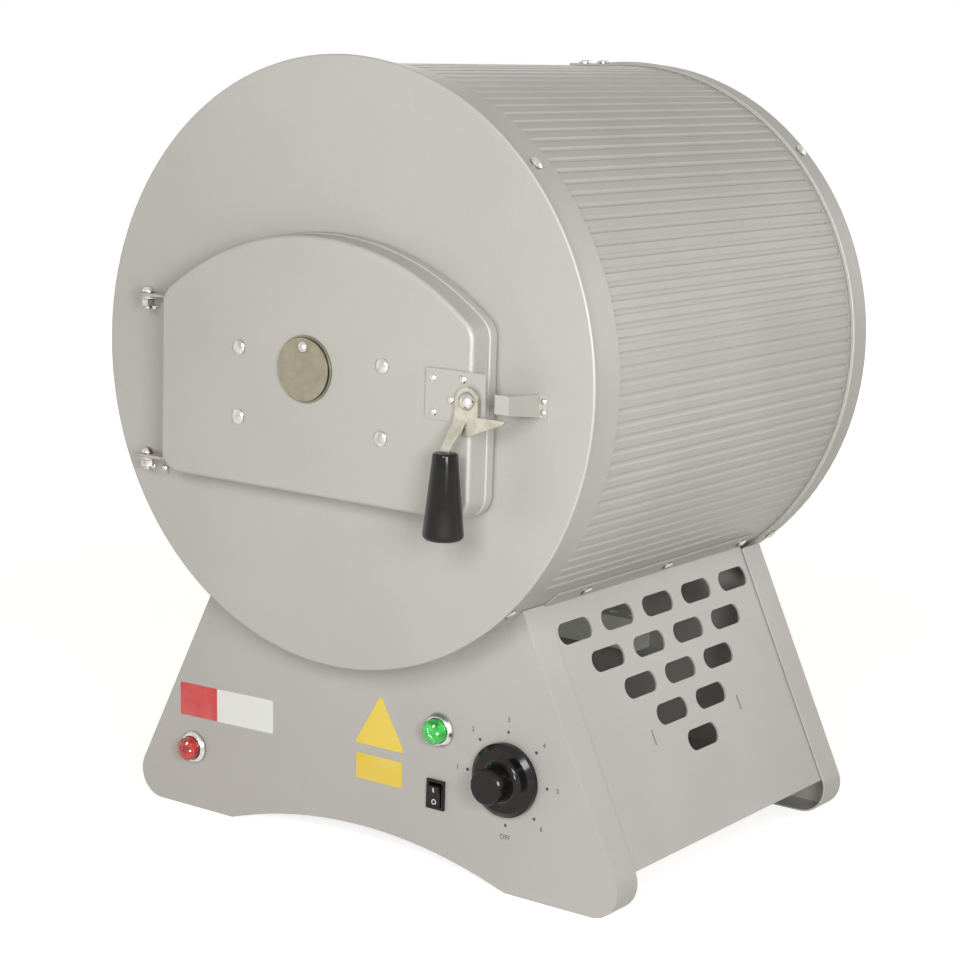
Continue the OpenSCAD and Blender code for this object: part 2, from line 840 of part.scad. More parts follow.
// Bolts with a domed head above and a nut below each joint
module hinge_bolts() color("silver")
    for (rise = hinge_rises) translate([-hinge_x, face_y - hinge_out, axis_h + rise]) {
        translate([0, 0, 2 * fit + hinge_t])
            dome_screw(hinge_head, hinge_bolt_r, 2 * hinge_t + 3 * fit + hinge_nut_h + hinge_tail);
        translate([0, 0, -hinge_t - fit - hinge_nut_h])
            cylinder(r = hinge_head[0], h = hinge_nut_h, $fn = 6);
    }

// Leaf on the door's edge with a lug that rests on the fixed bracket's lug
module door_hinge_leaf(rise, up) {
    lug_z = axis_h + rise + fit;
    difference() {
        union() {
            translate([-hinge_x, face_y - hinge_out, lug_z]) cylinder(r = hinge_lug_r, h = hinge_t);
            translate([-hinge_x, face_y - hinge_out - hinge_lug_r, lug_z])
                cube([hinge_x - door_half, 2 * hinge_lug_r, hinge_t]);
            translate([-door_half - hinge_t, face_y - door_out + pan_edge_r + leaf_set,
                lug_z + (up ? 0 : hinge_t - leaf_len)])
                cube([hinge_t, pan_wall - pan_edge_r - leaf_set, leaf_len]);
        }
        translate([-hinge_x, face_y - hinge_out, lug_z - cut])
            cylinder(r = hinge_bolt_r + pin_gap, h = hinge_t + 2 * cut);
    }
}

module door_hinge_leaves() color("lightgray") {
    door_hinge_leaf(hinge_top_rise, false);
    door_hinge_leaf(-hinge_low_drop, true);
}

// Door

door_shank_r = 2;
door_shank_l = 10;

module door_screw_places()
    for (x = [-door_screw_dx, door_screw_dx], z = [-door_screw_dz, door_screw_dz])
        facing(x, door_screw_mid + z, door_out) children();

module peep_place(out) facing(peep_x, peep_rise, out) children();

// Hole through the whole door for the peephole's tube
module peep_hole() peep_place(-plug_end - cut)
    cylinder(r = peep_r + peep_wall + fit, h = door_out + plug_end + 2 * cut);

// Pressed front pan with a rounded front edge
module door_pan() color("lightgray") difference() {
    rounded_door(pan_back, door_out, pan_edge_r);
    rounded_door(pan_back - cut, door_out - sheet, pan_edge_r - sheet / 2, -sheet);
    peep_hole();
    door_screw_places() skin_hole(door_shank_r);
    cover_pivot_hole();
    latch_rivet_places() skin_hole(rivet_r);
}

// Rear frame of the door, with a rounded edge, round the insulating plug
module door_back_plate() color("lightgray") difference() {
    rounded_door(plate_back, pan_back, frame_edge_r, frame_step);
    slab(-door_out, 0) mouth_outline(-plug_gap + fit);
}

// Insulating filling of the door and the plug that closes the mouth
module door_insulation() color("beige") difference() {
    union() {
        rounded_door(pan_back, door_out - sheet - fit, pan_edge_r - sheet / 2, -sheet - fit);
        hull() {
            slab(-pan_back, -pan_back + fit) mouth_outline(-plug_gap, $fn = blend_fn);
            slab(plug_end - fit, plug_end) mouth_outline(-plug_gap - plug_taper, $fn = blend_fn);
        }
    }
    peep_hole();
    door_screw_places() translate([0, 0, -door_shank_l - fit])
        cylinder(r = door_shank_r + fit, h = door_shank_l + fit);
    cover_pivot_hole();
    latch_rivet_places() skin_hole(rivet_r);
}

// Flat fibre seal round the mouth
module door_seal() color("white")
    slab(-plate_back, -seal_gap) difference() {
        mouth_outline(seal_to);
        mouth_outline(seal_from);
    }

module door_screws() color("silver")
    door_screw_places() dome_screw(small_head, door_shank_r, door_shank_l);

// Tube with a flange that lines the peephole
module peephole_tube() color("gray") difference() {
    union() {
        peep_place(-plug_end) cylinder(r = peep_r + peep_wall, h = plug_end + door_out);
        peep_place(door_out) cylinder(r = peep_flange_r, h = flange_out - door_out);
    }
    peep_place(-plug_end - cut) cylinder(r = peep_r, h = plug_end + flange_out + 2 * cut);
    cover_pivot_hole();
}

module cover_pivot_place(out) facing(peep_x, peep_rise + cover_pivot_up, out) children();

module cover_pivot_hole() cover_pivot_place(door_out - cover_screw_l - fit)
    cylinder(r = cover_screw_r + pin_gap, h = cover_screw_l + cover_t + skin_drill / 2);

// Disc that hangs from its screw and covers the peephole
module peephole_cover() color("darkkhaki") difference() {
    peep_place(cover_out) cylinder(r = cover_r, h = cover_t);
    cover_pivot_hole();
}

module peephole_screw() color("silver")
    cover_pivot_place(cover_out + cover_t + fit)
    dome_screw(cover_head, cover_screw_r, cover_out + cover_t + fit - door_out + cover_screw_l);

// Latch

latch_rise = -latch_drop;
rivet_r = 1.5;
plate_left = 35;
plate_right = 11;
plate_up = 17.5;
plate_down = 15;
washer_r = 5;
finger_top = -9.3;
finger_root = -27;
finger_tip = -11.7;
finger_foot = [8, -20];
boss_foot = [2, 3];
plate_cut = 22;
tang_w = 6.6;
tang_l = 18;
arm_slope = [13, 12];
arm_neck = [1, -10];

// Rivets on the plate and one on the door below it, measured from the pivot
latch_rivet_at = [[-30, 11.2], [-6.5, 12.5], [-29, -10.5], [-15.5, -1.5]];

module latch_rivet_places()
    for (at = latch_rivet_at)
        facing(latch_x + at[0], latch_rise + at[1], door_out + latch_plate_t) children();

module latch_plate() color("lightgray") difference() {
    slab(-door_out - latch_plate_t, -door_out)
        translate([latch_x - plate_left, latch_rise - plate_down])
        square([plate_left + plate_right, plate_up + plate_down]);
    latch_rivet_places() skin_hole(rivet_r);
    facing(latch_x, latch_rise, door_out - cut)
        cylinder(r = latch_bolt_r + pin_gap, h = latch_plate_t + 2 * cut);
}

module latch_rivets() color("silver")
    latch_rivet_places() dome_screw(rivet_head, rivet_r, latch_plate_t + sheet);

// Pivot bolt with the washer that keeps the lever clear of the rivets
module latch_pivot() color("silver") {
    facing(latch_x, latch_rise, door_out + fit)
        cylinder(r = latch_bolt_r, h = lever_front - door_out);
    facing(latch_x, latch_rise, door_out + latch_plate_t)
        cylinder(r = washer_r, h = lever_gap - fit);
    facing(latch_x, latch_rise, lever_front + fit) dome_screw(bolt_head, latch_bolt_r, fit);
}

// Front view of the lever's boss and finger, from the pivot
module finger_outline() {
    circle(boss_r);
    polygon([[-boss_r, 0], [-boss_r - boss_foot[0], finger_root],
        [-boss_r + boss_foot[1], finger_root], finger_foot, [finger_reach - 2, finger_tip],
        [finger_reach, finger_top], [boss_r, finger_top], [boss_r, 0]]);
}

// Side view of the bent arm in (distance out, rise): plate, slope and tang in the grip
module arm_profile() {
    tang = grip_out - lever_t / 2;
    polygon([[lever_back, 0], [lever_back, -arm_slope[0]], [tang, -grip_drop + 2],
        [tang, -grip_drop - tang_l], [tang + lever_t, -grip_drop - tang_l],
        [tang + lever_t, -grip_drop + 1.5], [lever_front, -arm_slope[1]], [lever_front, 0]]);
}

// Front view of the arm, narrowing to the tang
module arm_outline() {
    left = grip_lean - tang_w / 2;
    right = grip_lean + tang_w / 2;
    polygon([[-boss_r, 0], [left, -grip_drop + 2], [left, -grip_drop - tang_l],
        [right, -grip_drop - tang_l], [right, -grip_drop + 2], arm_neck, [arm_neck[0], 0]]);
}

module latch_lever() color("ivory") difference() {
    union() {
        facing(latch_x, latch_rise, lever_back) linear_extrude(lever_t) intersection() {
            finger_outline();
            translate([-boss_r, -plate_cut]) square([2 * cap_r, 2 * boss_r + plate_cut]);
        }
        intersection() {
            facing(latch_x, latch_rise, lever_back) linear_extrude(grip_out) arm_outline();
            translate([latch_x + grip_lean - boss_r, face_y, axis_h + latch_rise])
                rotate([90, 0, 90]) mirror([1, 0, 0]) linear_extrude(3 * boss_r) arm_profile();
        }
    }
    facing(latch_x, latch_rise, lever_back - cut)
        cylinder(r = latch_bolt_r + pin_gap, h = lever_t + 2 * cut);
}

// Tapered grip, turned, with softened ends
module latch_grip() color("black")
    translate([latch_x + grip_lean, face_y - grip_out, axis_h + latch_rise - grip_drop])
    difference() {
        rotate([180, 0, 0]) rotate_extrude() polygon([[0, 0], [grip_top_r - 1, 0],
            [grip_top_r, 1], [grip_low_r, grip_l - 2], [grip_low_r - 1.5, grip_l], [0, grip_l]]);
        translate([-tang_w / 2 - fit, -lever_t / 2 - fit, -tang_l - fit])
            cube([tang_w + 2 * fit, lever_t + 2 * fit, tang_l + 2 * cut]);
    }

lug_w = 9;
lug_low = -9;
lug_high = 3;
keeper_foot_w = 7;
keeper_foot_low = -14;
keeper_foot_high = 0.5;
keeper_rivet_in = 4.2;

// Keeper: a foot on the drum, a leg that stands out and a lug that the finger swings behind
module keeper() color("lightgray") {
    lug_out = lever_front + keeper_gap;
    difference() {
        union() {
            slab(-sheet, 0) translate([keeper_leg_x, keeper_foot_low])
                square([keeper_foot_w, keeper_foot_high - keeper_foot_low]);
            translate([keeper_leg_x, face_y, axis_h]) rotate([90, 0, 90]) linear_extrude(sheet)
                polygon([[0, keeper_foot_low], [0, keeper_foot_high],
                    [-lug_out - sheet, lug_high], [-lug_out - sheet, lug_low]]);
            slab(-lug_out - sheet, -lug_out) translate([keeper_leg_x - lug_w, lug_low])
                square([lug_w + sheet, lug_high - lug_low]);
        }
        keeper_rivet_places() skin_hole(small_rivet_r);
    }
}

module keeper_rivet_places()
    for (z = [-10.5, -3.5]) facing(keeper_leg_x + keeper_rivet_in, z, sheet) children();

module keeper_rivets() color("silver")
    keeper_rivet_places() dome_screw(small_rivet_head, small_rivet_r, sheet);

// Controls

lamp_hole_gap = 0.5;
bezel_h = 4;
bezel_edge = 1.5;
dome_h = 4;
lamp_l = 28;
lamp_nut_h = 4;

// Turned lamp bezel with a sloping front, open for the lens
module lamp_bezels() color("whitesmoke")
    for (at = [red_at, green_at]) on_panel(at) difference() {
        rotate_extrude() polygon([[0, 0], [bezel_r, 0], [bezel_r, bezel_edge],
            [lens_r + bezel_edge, bezel_h], [0, bezel_h]]);
        translate([0, 0, -cut]) cylinder(r = lens_r + fit, h = bezel_h + 2 * cut);
    }

// Domed lens that stands in its bezel
module lens() {
    side_h = lens_out - dome_h;
    ball_r = (lens_r * lens_r + dome_h * dome_h) / (2 * dome_h);
    cylinder(r = lens_r, h = side_h);
    intersection() {
        translate([0, 0, lens_out - ball_r]) sphere(ball_r);
        translate([0, 0, side_h]) cylinder(r = lens_r, h = dome_h);
    }
}

module red_lens() color("red") on_panel(red_at) lens();
module green_lens() color("green") on_panel(green_at) lens();

// Lamp holders and their nuts behind the panel
module lamp_bodies() color("white")
    for (at = [red_at, green_at]) on_panel(at) {
        translate([0, 0, -lamp_l]) cylinder(r = lens_r, h = lamp_l - fit);
        translate([0, 0, -sheet - fit - lamp_nut_h])
            cylinder(r = bezel_r, h = lamp_nut_h, $fn = 6);
    }

housing_w = switch_w - 2;
housing_h = switch_h - 2;
rocker_w = switch_w - 5;
rocker_h = switch_h - 5;
rocker_pin_r = 1.5;
rocker_pin_l = 1;
rocker_pin_in = 1.5;
rocker_gap = 0.4;
rocker_crown = [2.5, 4.2, 5.5];
rocker_keel = 3.5;
switch_bezel_t = 2;
housing_l = 18;
well_l = 8;

// Switch bezel and housing with the well that the rocker moves in
module switch_body() color("black") on_panel(switch_at) difference() {
    union() {
        translate([-switch_w / 2, -switch_h / 2, 0]) cube([switch_w, switch_h, switch_bezel_t]);
        translate([-housing_w / 2, -housing_h / 2, -housing_l])
            cube([housing_w, housing_h, housing_l + cut]);
    }
    translate([-rocker_w / 2 - rocker_gap, -rocker_h / 2 - rocker_gap, -well_l])
        cube([rocker_w + 2 * rocker_gap, rocker_h + 2 * rocker_gap, well_l + 2 * switch_bezel_t]);
    translate([-rocker_w / 2 - rocker_pin_l - fit, 0, -rocker_pin_in]) rotate([0, 90, 0])
        cylinder(r = rocker_pin_r + pin_gap, h = rocker_w + 2 * (rocker_pin_l + fit));
}

// Rocker on two short pins, tilted to its off side
module switch_rocker() color("black") on_panel(switch_at) translate([0, 0, -rocker_pin_in])
    rotate([rocker_tilt, 0, 0]) {
        half = rocker_h / 2;
        right = [[-rocker_keel, half / 2], [rocker_crown[0], half - 3 * fit],
            [rocker_crown[2], half - 6 * fit], [rocker_crown[1], 0]];
        translate([rocker_w / 2, 0, 0]) rotate([0, -90, 0]) linear_extrude(rocker_w) {
            polygon([[-rocker_keel, 0], for (p = right) p]);
            mirror([0, 1]) polygon([[-rocker_keel, 0], for (p = right) p]);
        }
        translate([-rocker_w / 2 - rocker_pin_l, 0, 0]) rotate([0, 90, 0])
            cylinder(r = rocker_pin_r, h = rocker_w + 2 * rocker_pin_l);
    }

knob_out = 1;
bush_wall = 1;
bush_r = shaft_r + bush_wall;
regulator_size = [48, 48, 34];
shaft_in = 20;
knob_grip_on = 14;
knob_edge = 4;
knob_flat = 6.5;
knob_bevel = 3.5;
knob_waist_r = 5;
knob_flutes = 12;
flute_r = 2;
flute_d = 0.7;

module regulator_body() color("dimgray") on_panel(knob_at) difference() {
    union() {
        translate([-regulator_size[0] / 2, -regulator_size[1] / 2, -sheet - regulator_size[2]])
            cube(regulator_size);
        translate([0, 0, -sheet]) cylinder(r = bush_r - fit, h = sheet);
    }
    translate([0, 0, -sheet - shaft_in]) cylinder(r = shaft_r + pin_gap, h = 2 * shaft_in);
}

module regulator_shaft() color("silver") on_panel(knob_at)
    translate([0, 0, -sheet - shaft_in + cut])
    cylinder(r = shaft_r, h = sheet + shaft_in - cut + knob_out + knob_grip_on);

// Turned knob: a bevelled skirt that runs in a waist into a fluted grip
module regulator_knob() color("black") on_panel(knob_at, knob_out) difference() {
    rotate_extrude() polygon([[0, 0], [knob_r, 0], [knob_r, knob_edge],
        [knob_r - knob_bevel, knob_flat],
        for (a = [0:15:90]) [knob_grip_r + knob_waist_r * (1 - sin(a)),
            knob_flat + knob_waist_r * (1 - cos(a))],
        [knob_grip_r, knob_h - bush_wall], [knob_grip_r - bush_wall, knob_h], [0, knob_h]]);
    for (i = [0:knob_flutes - 1]) rotate([0, 0, i * 360 / knob_flutes])
        translate([knob_grip_r + flute_r - flute_d, 0, knob_flat + knob_waist_r])
        cylinder(r = flute_r, h = knob_h, $fn = 24);
    translate([0, 0, -cut]) cylinder(r = shaft_r + fit / 2, h = knob_grip_on + cut);
}

front_cap();
rear_cap();
drum_wrap();
top_strap();
strap_screws();
cap_screws();
base_front_panel();
base_rear_panel();
base_side_right();
base_side_left();
side_screws();
base_floor();
front_collar();
insulation_body();
rear_board();
muffle();
heating_coil();
coil_leads();
thermocouple();
terminal_block();
hinge_brackets();
hinge_bolts();
bracket_rivets();
keeper();
keeper_rivets();
lamp_bezels();
red_lens();
green_lens();
lamp_bodies();
switch_body();
switch_rocker();
regulator_body();
regulator_shaft();
regulator_knob();
cable_gland();
door_pan();
door_back_plate();
door_insulation();
door_seal();
door_screws();
door_hinge_leaves();
peephole_tube();
peephole_cover();
peephole_screw();
latch_plate();
latch_rivets();
latch_pivot();
latch_lever();
latch_grip();
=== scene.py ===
"""Bench muffle furnace: the looks of the part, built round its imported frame.

Sizes of pieces are in millimetres, and the studio's are in metres. A pattern's scale is in cells
per metre, and a span is the part of a pattern's range that is spread over the whole finish.
"""

import json
import logging
import math
from dataclasses import dataclass, field
from enum import Enum

import bmesh
import bpy
from mathutils import Matrix, Vector


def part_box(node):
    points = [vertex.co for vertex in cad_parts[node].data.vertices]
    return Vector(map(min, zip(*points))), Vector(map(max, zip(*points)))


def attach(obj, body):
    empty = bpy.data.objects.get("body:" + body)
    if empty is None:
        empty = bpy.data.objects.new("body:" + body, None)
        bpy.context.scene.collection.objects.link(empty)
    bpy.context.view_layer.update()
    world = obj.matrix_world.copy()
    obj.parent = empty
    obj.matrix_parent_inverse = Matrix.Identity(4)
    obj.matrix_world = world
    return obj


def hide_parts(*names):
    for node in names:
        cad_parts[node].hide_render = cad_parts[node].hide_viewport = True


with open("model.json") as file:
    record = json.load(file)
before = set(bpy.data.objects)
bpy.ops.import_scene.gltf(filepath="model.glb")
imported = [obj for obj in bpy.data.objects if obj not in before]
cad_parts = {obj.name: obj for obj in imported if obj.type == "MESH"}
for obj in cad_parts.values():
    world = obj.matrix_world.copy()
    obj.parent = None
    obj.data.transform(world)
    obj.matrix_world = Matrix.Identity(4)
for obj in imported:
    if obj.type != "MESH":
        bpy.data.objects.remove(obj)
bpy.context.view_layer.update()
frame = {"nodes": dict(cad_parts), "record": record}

LOG = logging.getLogger("furnace")
MM = 0.001
DOUBLES = 0.001 * MM

Colour = tuple[float, float, float, float]
Tint = tuple[float, float, float]
Place = tuple[float, float, float]
Span = tuple[float, float]
Socket = bpy.types.NodeSocket
Mesh = bmesh.types.BMesh

WHITE: Colour = (1.0, 1.0, 1.0, 1.0)
WIDE: Span = (0.3, 0.7)


class Body(Enum):
    """The bodies of the frame that the pieces made here ride on."""

    CASING = "casing"
    DOOR = "door"
    LATCH = "latch"
    ROCKER = "rocker"


class Slot(Enum):
    """The record's material slots, each with one finish."""

    CASING_PAINT = "casing_paint"
    WRAP_PAINT = "wrap_paint"
    BRIGHT_ZINC = "bright_zinc"
    LEVER_ZINC = "lever_zinc"
    COVER_STEEL = "cover_steel"
    FIBRE = "fibre"
    MUFFLE_CERAMIC = "muffle_ceramic"
    WHITE_CERAMIC = "white_ceramic"
    HEATING_ALLOY = "heating_alloy"
    BLACK_PLASTIC = "black_plastic"
    GREY_PLASTIC = "grey_plastic"
    BEZEL_METAL = "bezel_metal"
    RED_LENS = "red_lens"
    GREEN_LENS = "green_lens"


def linear(red: int, green: int, blue: int) -> Colour:
    """Turns a display colour into a shader colour, by the curve of ordinary displays.

    Args:
        red: Red from 0 to 255.
        green: Green from 0 to 255.
        blue: Blue from 0 to 255.

    Returns:
        The linear colour with an alpha of 1.
    """
    levels = [value / 255 for value in (red, green, blue)]
    scene = [v / 12.92 if v <= 0.04045 else ((v + 0.055) / 1.055) ** 2.4 for v in levels]
    return (scene[0], scene[1], scene[2], 1.0)


class Graph:
    """A short way to write the nodes of one material or of the world."""

    def __init__(self, name: str, world: bool = False) -> None:
        """Starts an empty material or world.

        Args:
            name: Its name.
            world: Whether it is a world.
        """
        kind = "World" if world else "Material"
        self.owner = (bpy.data.worlds if world else bpy.data.materials).new(name)
        self.owner.use_nodes = True
        self.tree = self.owner.node_tree
        self.tree.nodes.clear()
        self.output = self.tree.nodes.new("ShaderNodeOutput" + kind)
        self.coordinates = self.tree.nodes.new("ShaderNodeTexCoord")
        self.place = self.coordinates.outputs["Object"]

    def fill(self, target: Socket, value: Socket | float | Colour) -> None:
        """Gives an input its value.

        Args:
            target: The input.
            value: A socket, which is linked, or the input's own value.
        """
        if isinstance(value, Socket):
            self.tree.links.new(value, target)
        else:
            target.default_value = value

    def node(self, kind: str, inputs: dict | None = None,
             **settings: str | int | bool) -> bpy.types.Node:
        """Adds a node.

        Args:
            kind: The node's type name.
            inputs: Values or sockets for its inputs, by name or number.
            settings: Attributes of the node itself.

        Returns:
            The new node.
        """
        made = self.tree.nodes.new(kind)
        for name, value in settings.items():
            setattr(made, name, value)
        for name, value in (inputs or {}).items():
            self.fill(made.inputs[name], value)
        return made

    def noise(self, scale: float, detail: float = 2.0, rough: float = 0.5) -> Socket:
        """Adds a noise pattern on the object's own place.

        Args:
            scale: Cells per metre.
            detail: Octaves.
            rough: Weight of the fine octaves.

        Returns:
            The pattern's value, from 0 to 1.
        """
        return self.node("ShaderNodeTexNoise", {
            "Vector": self.place, "Scale": scale, "Detail": detail, "Roughness": rough}).outputs[0]

    def ramp(self, value: Socket, span: Span, reach: Span = (0.0, 1.0)) -> Socket:
        """Maps a value from one range to another, held at the ends.

        Args:
            value: The value.
            span: The range that it comes from.
            reach: The range that it goes to.

        Returns:
            The mapped value.
        """
        made = self.node("ShaderNodeMapRange", {
            "Value": value, "From Min": span[0], "From Max": span[1],
            "To Min": reach[0], "To Max": reach[1]}, clamp=True)
        return made.outputs[0]

    def blend(self, share: Socket | float, first: Socket | Colour,
              second: Socket | Colour) -> Socket:
        """Mixes two colours.

        Args:
            share: How much of the second colour.
            first: A colour or socket.
            second: A colour or socket.

        Returns:
            The mixed colour.
        """
        made = self.node("ShaderNodeMix", data_type="RGBA")
        for number, value in ((0, share), (6, first), (7, second)):
            self.fill(made.inputs[number], value)
        return made.outputs[2]

    def bump(self, height: Socket, strength: float, depth: float) -> Socket:
        """Turns a height pattern into a normal.

        Args:
            height: The pattern.
            strength: How much of it shows, from 0 to 1.
            depth: Its depth in metres.

        Returns:
            The normal.
        """
        return self.node("ShaderNodeBump", {
            "Height": height, "Strength": strength, "Distance": depth}).outputs[0]

    def close(self, shader: bpy.types.Node) -> None:
        """Links the last shader to the output."""
        self.tree.links.new(shader.outputs[0], self.output.inputs[0])

    def finish(self, inputs: dict) -> bpy.types.Material:
        """Closes a material's graph with the main shader.

        Args:
            inputs: Values or sockets for the shader's inputs, by name.

        Returns:
            The material.
        """
        self.close(self.node("ShaderNodeBsdfPrincipled", inputs))
        return self.owner


@dataclass(frozen=True)
class PowderCoat:
    """Baked silver-grey paint with a fine grain and a soft gloss."""

    name: str
    pale: Colour
    deep: Colour
    gloss: Span = (0.44, 0.53)
    metallic: float = 0.2
    cloud_scale: float = 5.0
    cloud_span: Span = (0.35, 0.65)
    flake_scale: float = 2600.0
    flake_reach: Span = (0.94, 1.06)
    peel_scale: float = 900.0
    peel_rough: float = 0.4
    peel_strength: float = 0.12
    peel_depth: float = 0.15 * MM

    def build(self) -> bpy.types.Material:
        """Makes the material.

        Returns:
            The material, ready for a piece.
        """
        graph = Graph(self.name)
        clouds = graph.noise(self.cloud_scale, detail=3.0)
        flakes = graph.noise(self.flake_scale, detail=1.0)
        peel = graph.noise(self.peel_scale, rough=self.peel_rough)
        tone = graph.blend(graph.ramp(clouds, self.cloud_span), self.pale, self.deep)
        sparkle = graph.node("ShaderNodeHueSaturation", {
            "Value": graph.ramp(flakes, WIDE, self.flake_reach), "Color": tone})
        return graph.finish({
            "Base Color": sparkle.outputs[0],
            "Metallic": self.metallic,
            "Roughness": graph.ramp(clouds, WIDE, self.gloss),
            "Normal": graph.bump(peel, self.peel_strength, self.peel_depth)})


@dataclass(frozen=True)
class PlatedMetal:
    """Zinc-plated or plain steel with drawn marks, a dulled patina and painted shade darkening its
    nooks.
    """

    name: str
    bright: Colour
    dull: Colour
    roughness: float
    rough_reach: Span = (-0.06, 0.1)
    patina_scale: float = 160.0
    patina_span: Span = (0.35, 0.7)
    mark_scale: float = 1500.0
    mark_strength: float = 0.12
    mark_depth: float = 0.08 * MM
    nook: float = 2.5 * MM
    nook_span: Span = (0.35, 0.85)
    nook_samples: int = 8
    # How dark the painted shade in the nooks is, as a share of the dull colour.
    nook_shade_share: float = 0.12

    def build(self) -> bpy.types.Material:
        """Makes the material.

        Returns:
            The material, ready for a piece.
        """
        graph = Graph(self.name)
        patina = graph.noise(self.patina_scale, detail=3.0)
        marks = graph.noise(self.mark_scale)
        plated = graph.blend(graph.ramp(patina, self.patina_span), self.bright, self.dull)
        # Ambient occlusion darkens nooks and recesses towards a dark colour: painted shade.
        nooks = graph.node("ShaderNodeAmbientOcclusion", {"Distance": self.nook},
                           samples=self.nook_samples)
        painted_shade = tuple(self.nook_shade_share * c for c in self.dull[:3]) + (1.0,)
        low, high = (self.roughness + step for step in self.rough_reach)
        return graph.finish({
            "Base Color": graph.blend(graph.ramp(nooks.outputs["AO"], self.nook_span),
                                      painted_shade, plated),
            "Metallic": 1.0,
            "Roughness": graph.ramp(marks, WIDE, (low, high)),
            "Normal": graph.bump(marks, self.mark_strength, self.mark_depth)})


@dataclass(frozen=True)
class Moulded:
    """Moulded plastic, glossy or matt, with a trace of mould texture."""

    name: str
    colour: Colour
    roughness: float
    texture: float = 0.05
    ior: float = 1.5
    rough_rise: float = 0.07
    haze_scale: float = 60.0
    haze_span: Span = (0.3, 0.75)
    fade_gain: float = 1.35
    fade_lift: float = 0.004
    skin_scale: float = 1800.0
    skin_depth: float = 0.06 * MM

    def build(self) -> bpy.types.Material:
        """Makes the material.

        Returns:
            The material, ready for a piece.
        """
        graph = Graph(self.name)
        haze = graph.noise(self.haze_scale)
        skin = graph.noise(self.skin_scale)
        tints = (self.fade_gain * c + self.fade_lift for c in self.colour[:3])
        faded = tuple(min(1.0, tint) for tint in tints) + (1.0,)
        return graph.finish({
            "Base Color": graph.blend(graph.ramp(haze, self.haze_span), self.colour, faded),
            "Roughness": graph.ramp(haze, WIDE, (self.roughness, self.roughness + self.rough_rise)),
            "IOR": self.ior,
            "Normal": graph.bump(skin, self.texture, self.skin_depth)})


@dataclass(frozen=True)
class FiredCeramic:
    """Ceramic fibre or fired clay: matt, speckled and slightly uneven."""

    name: str
    pale: Colour
    speck: Colour
    scale: float
    depth: float
    roughness: float = 0.92
    fibre_rough: float = 0.65
    fibre_span: Span = (0.45, 0.75)
    stain_scale: float = 14.0
    stain_span: Span = (0.45, 0.8)
    stain_reach: Span = (0.0, 0.35)
    strength: float = 0.5

    def build(self) -> bpy.types.Material:
        """Makes the material.

        Returns:
            The material, ready for a piece.
        """
        graph = Graph(self.name)
        fibres = graph.noise(self.scale, detail=5.0, rough=self.fibre_rough)
        stains = graph.noise(self.stain_scale, detail=3.0)
        base = graph.blend(graph.ramp(fibres, self.fibre_span), self.pale, self.speck)
        scorch = graph.ramp(stains, self.stain_span, self.stain_reach)
        return graph.finish({
            "Base Color": graph.blend(scorch, base, self.speck),
            "Roughness": self.roughness,
            "Normal": graph.bump(fibres, self.strength, self.depth)})


@dataclass(frozen=True)
class LampPlastic:
    """Clear coloured plastic of a lamp's lens."""

    name: str
    colour: Colour
    glow: Colour
    glow_strength: float
    roughness: float = 0.12
    coat: float = 0.6
    coat_roughness: float = 0.05
    inner: float = 0.25
    inner_reach: float = 4 * MM
    depth_scale: float = 220.0
    depth_span: Span = (0.4, 0.7)
    dark_share: float = 0.35

    def build(self) -> bpy.types.Material:
        """Makes the material.

        Returns:
            The material, ready for a piece.
        """
        graph = Graph(self.name)
        depth = graph.noise(self.depth_scale)
        dark = tuple(self.dark_share * c for c in self.colour[:3]) + (1.0,)
        return graph.finish({
            "Base Color": graph.blend(graph.ramp(depth, self.depth_span), self.colour, dark),
            "Roughness": self.roughness,
            "Coat Weight": self.coat,
            "Coat Roughness": self.coat_roughness,
            "Subsurface Weight": self.inner,
            "Subsurface Radius": (self.inner_reach, self.inner_reach, self.inner_reach),
            "Subsurface Scale": 1.0,
            "Emission Color": self.glow,
            "Emission Strength": self.glow_strength})


@dataclass(frozen=True)
class PrintedFilm:
    """Printed film of a stuck-on plate or a printed mark."""

    name: str
    colour: Colour
    roughness: float = 0.35
    fade_scale: float = 40.0
    fade_span: Span = (0.35, 0.7)
    fade: float = 0.08

    def build(self) -> bpy.types.Material:
        """Makes the material.

        Returns:
            The material, ready for a piece.
        """
        graph = Graph(self.name)
        fading = graph.noise(self.fade_scale, detail=3.0)
        faded = tuple(c + self.fade * (1 - c) for c in self.colour[:3]) + (1.0,)
        return graph.finish({
            "Base Color": graph.blend(graph.ramp(fading, self.fade_span), self.colour, faded),
            "Roughness": self.roughness})


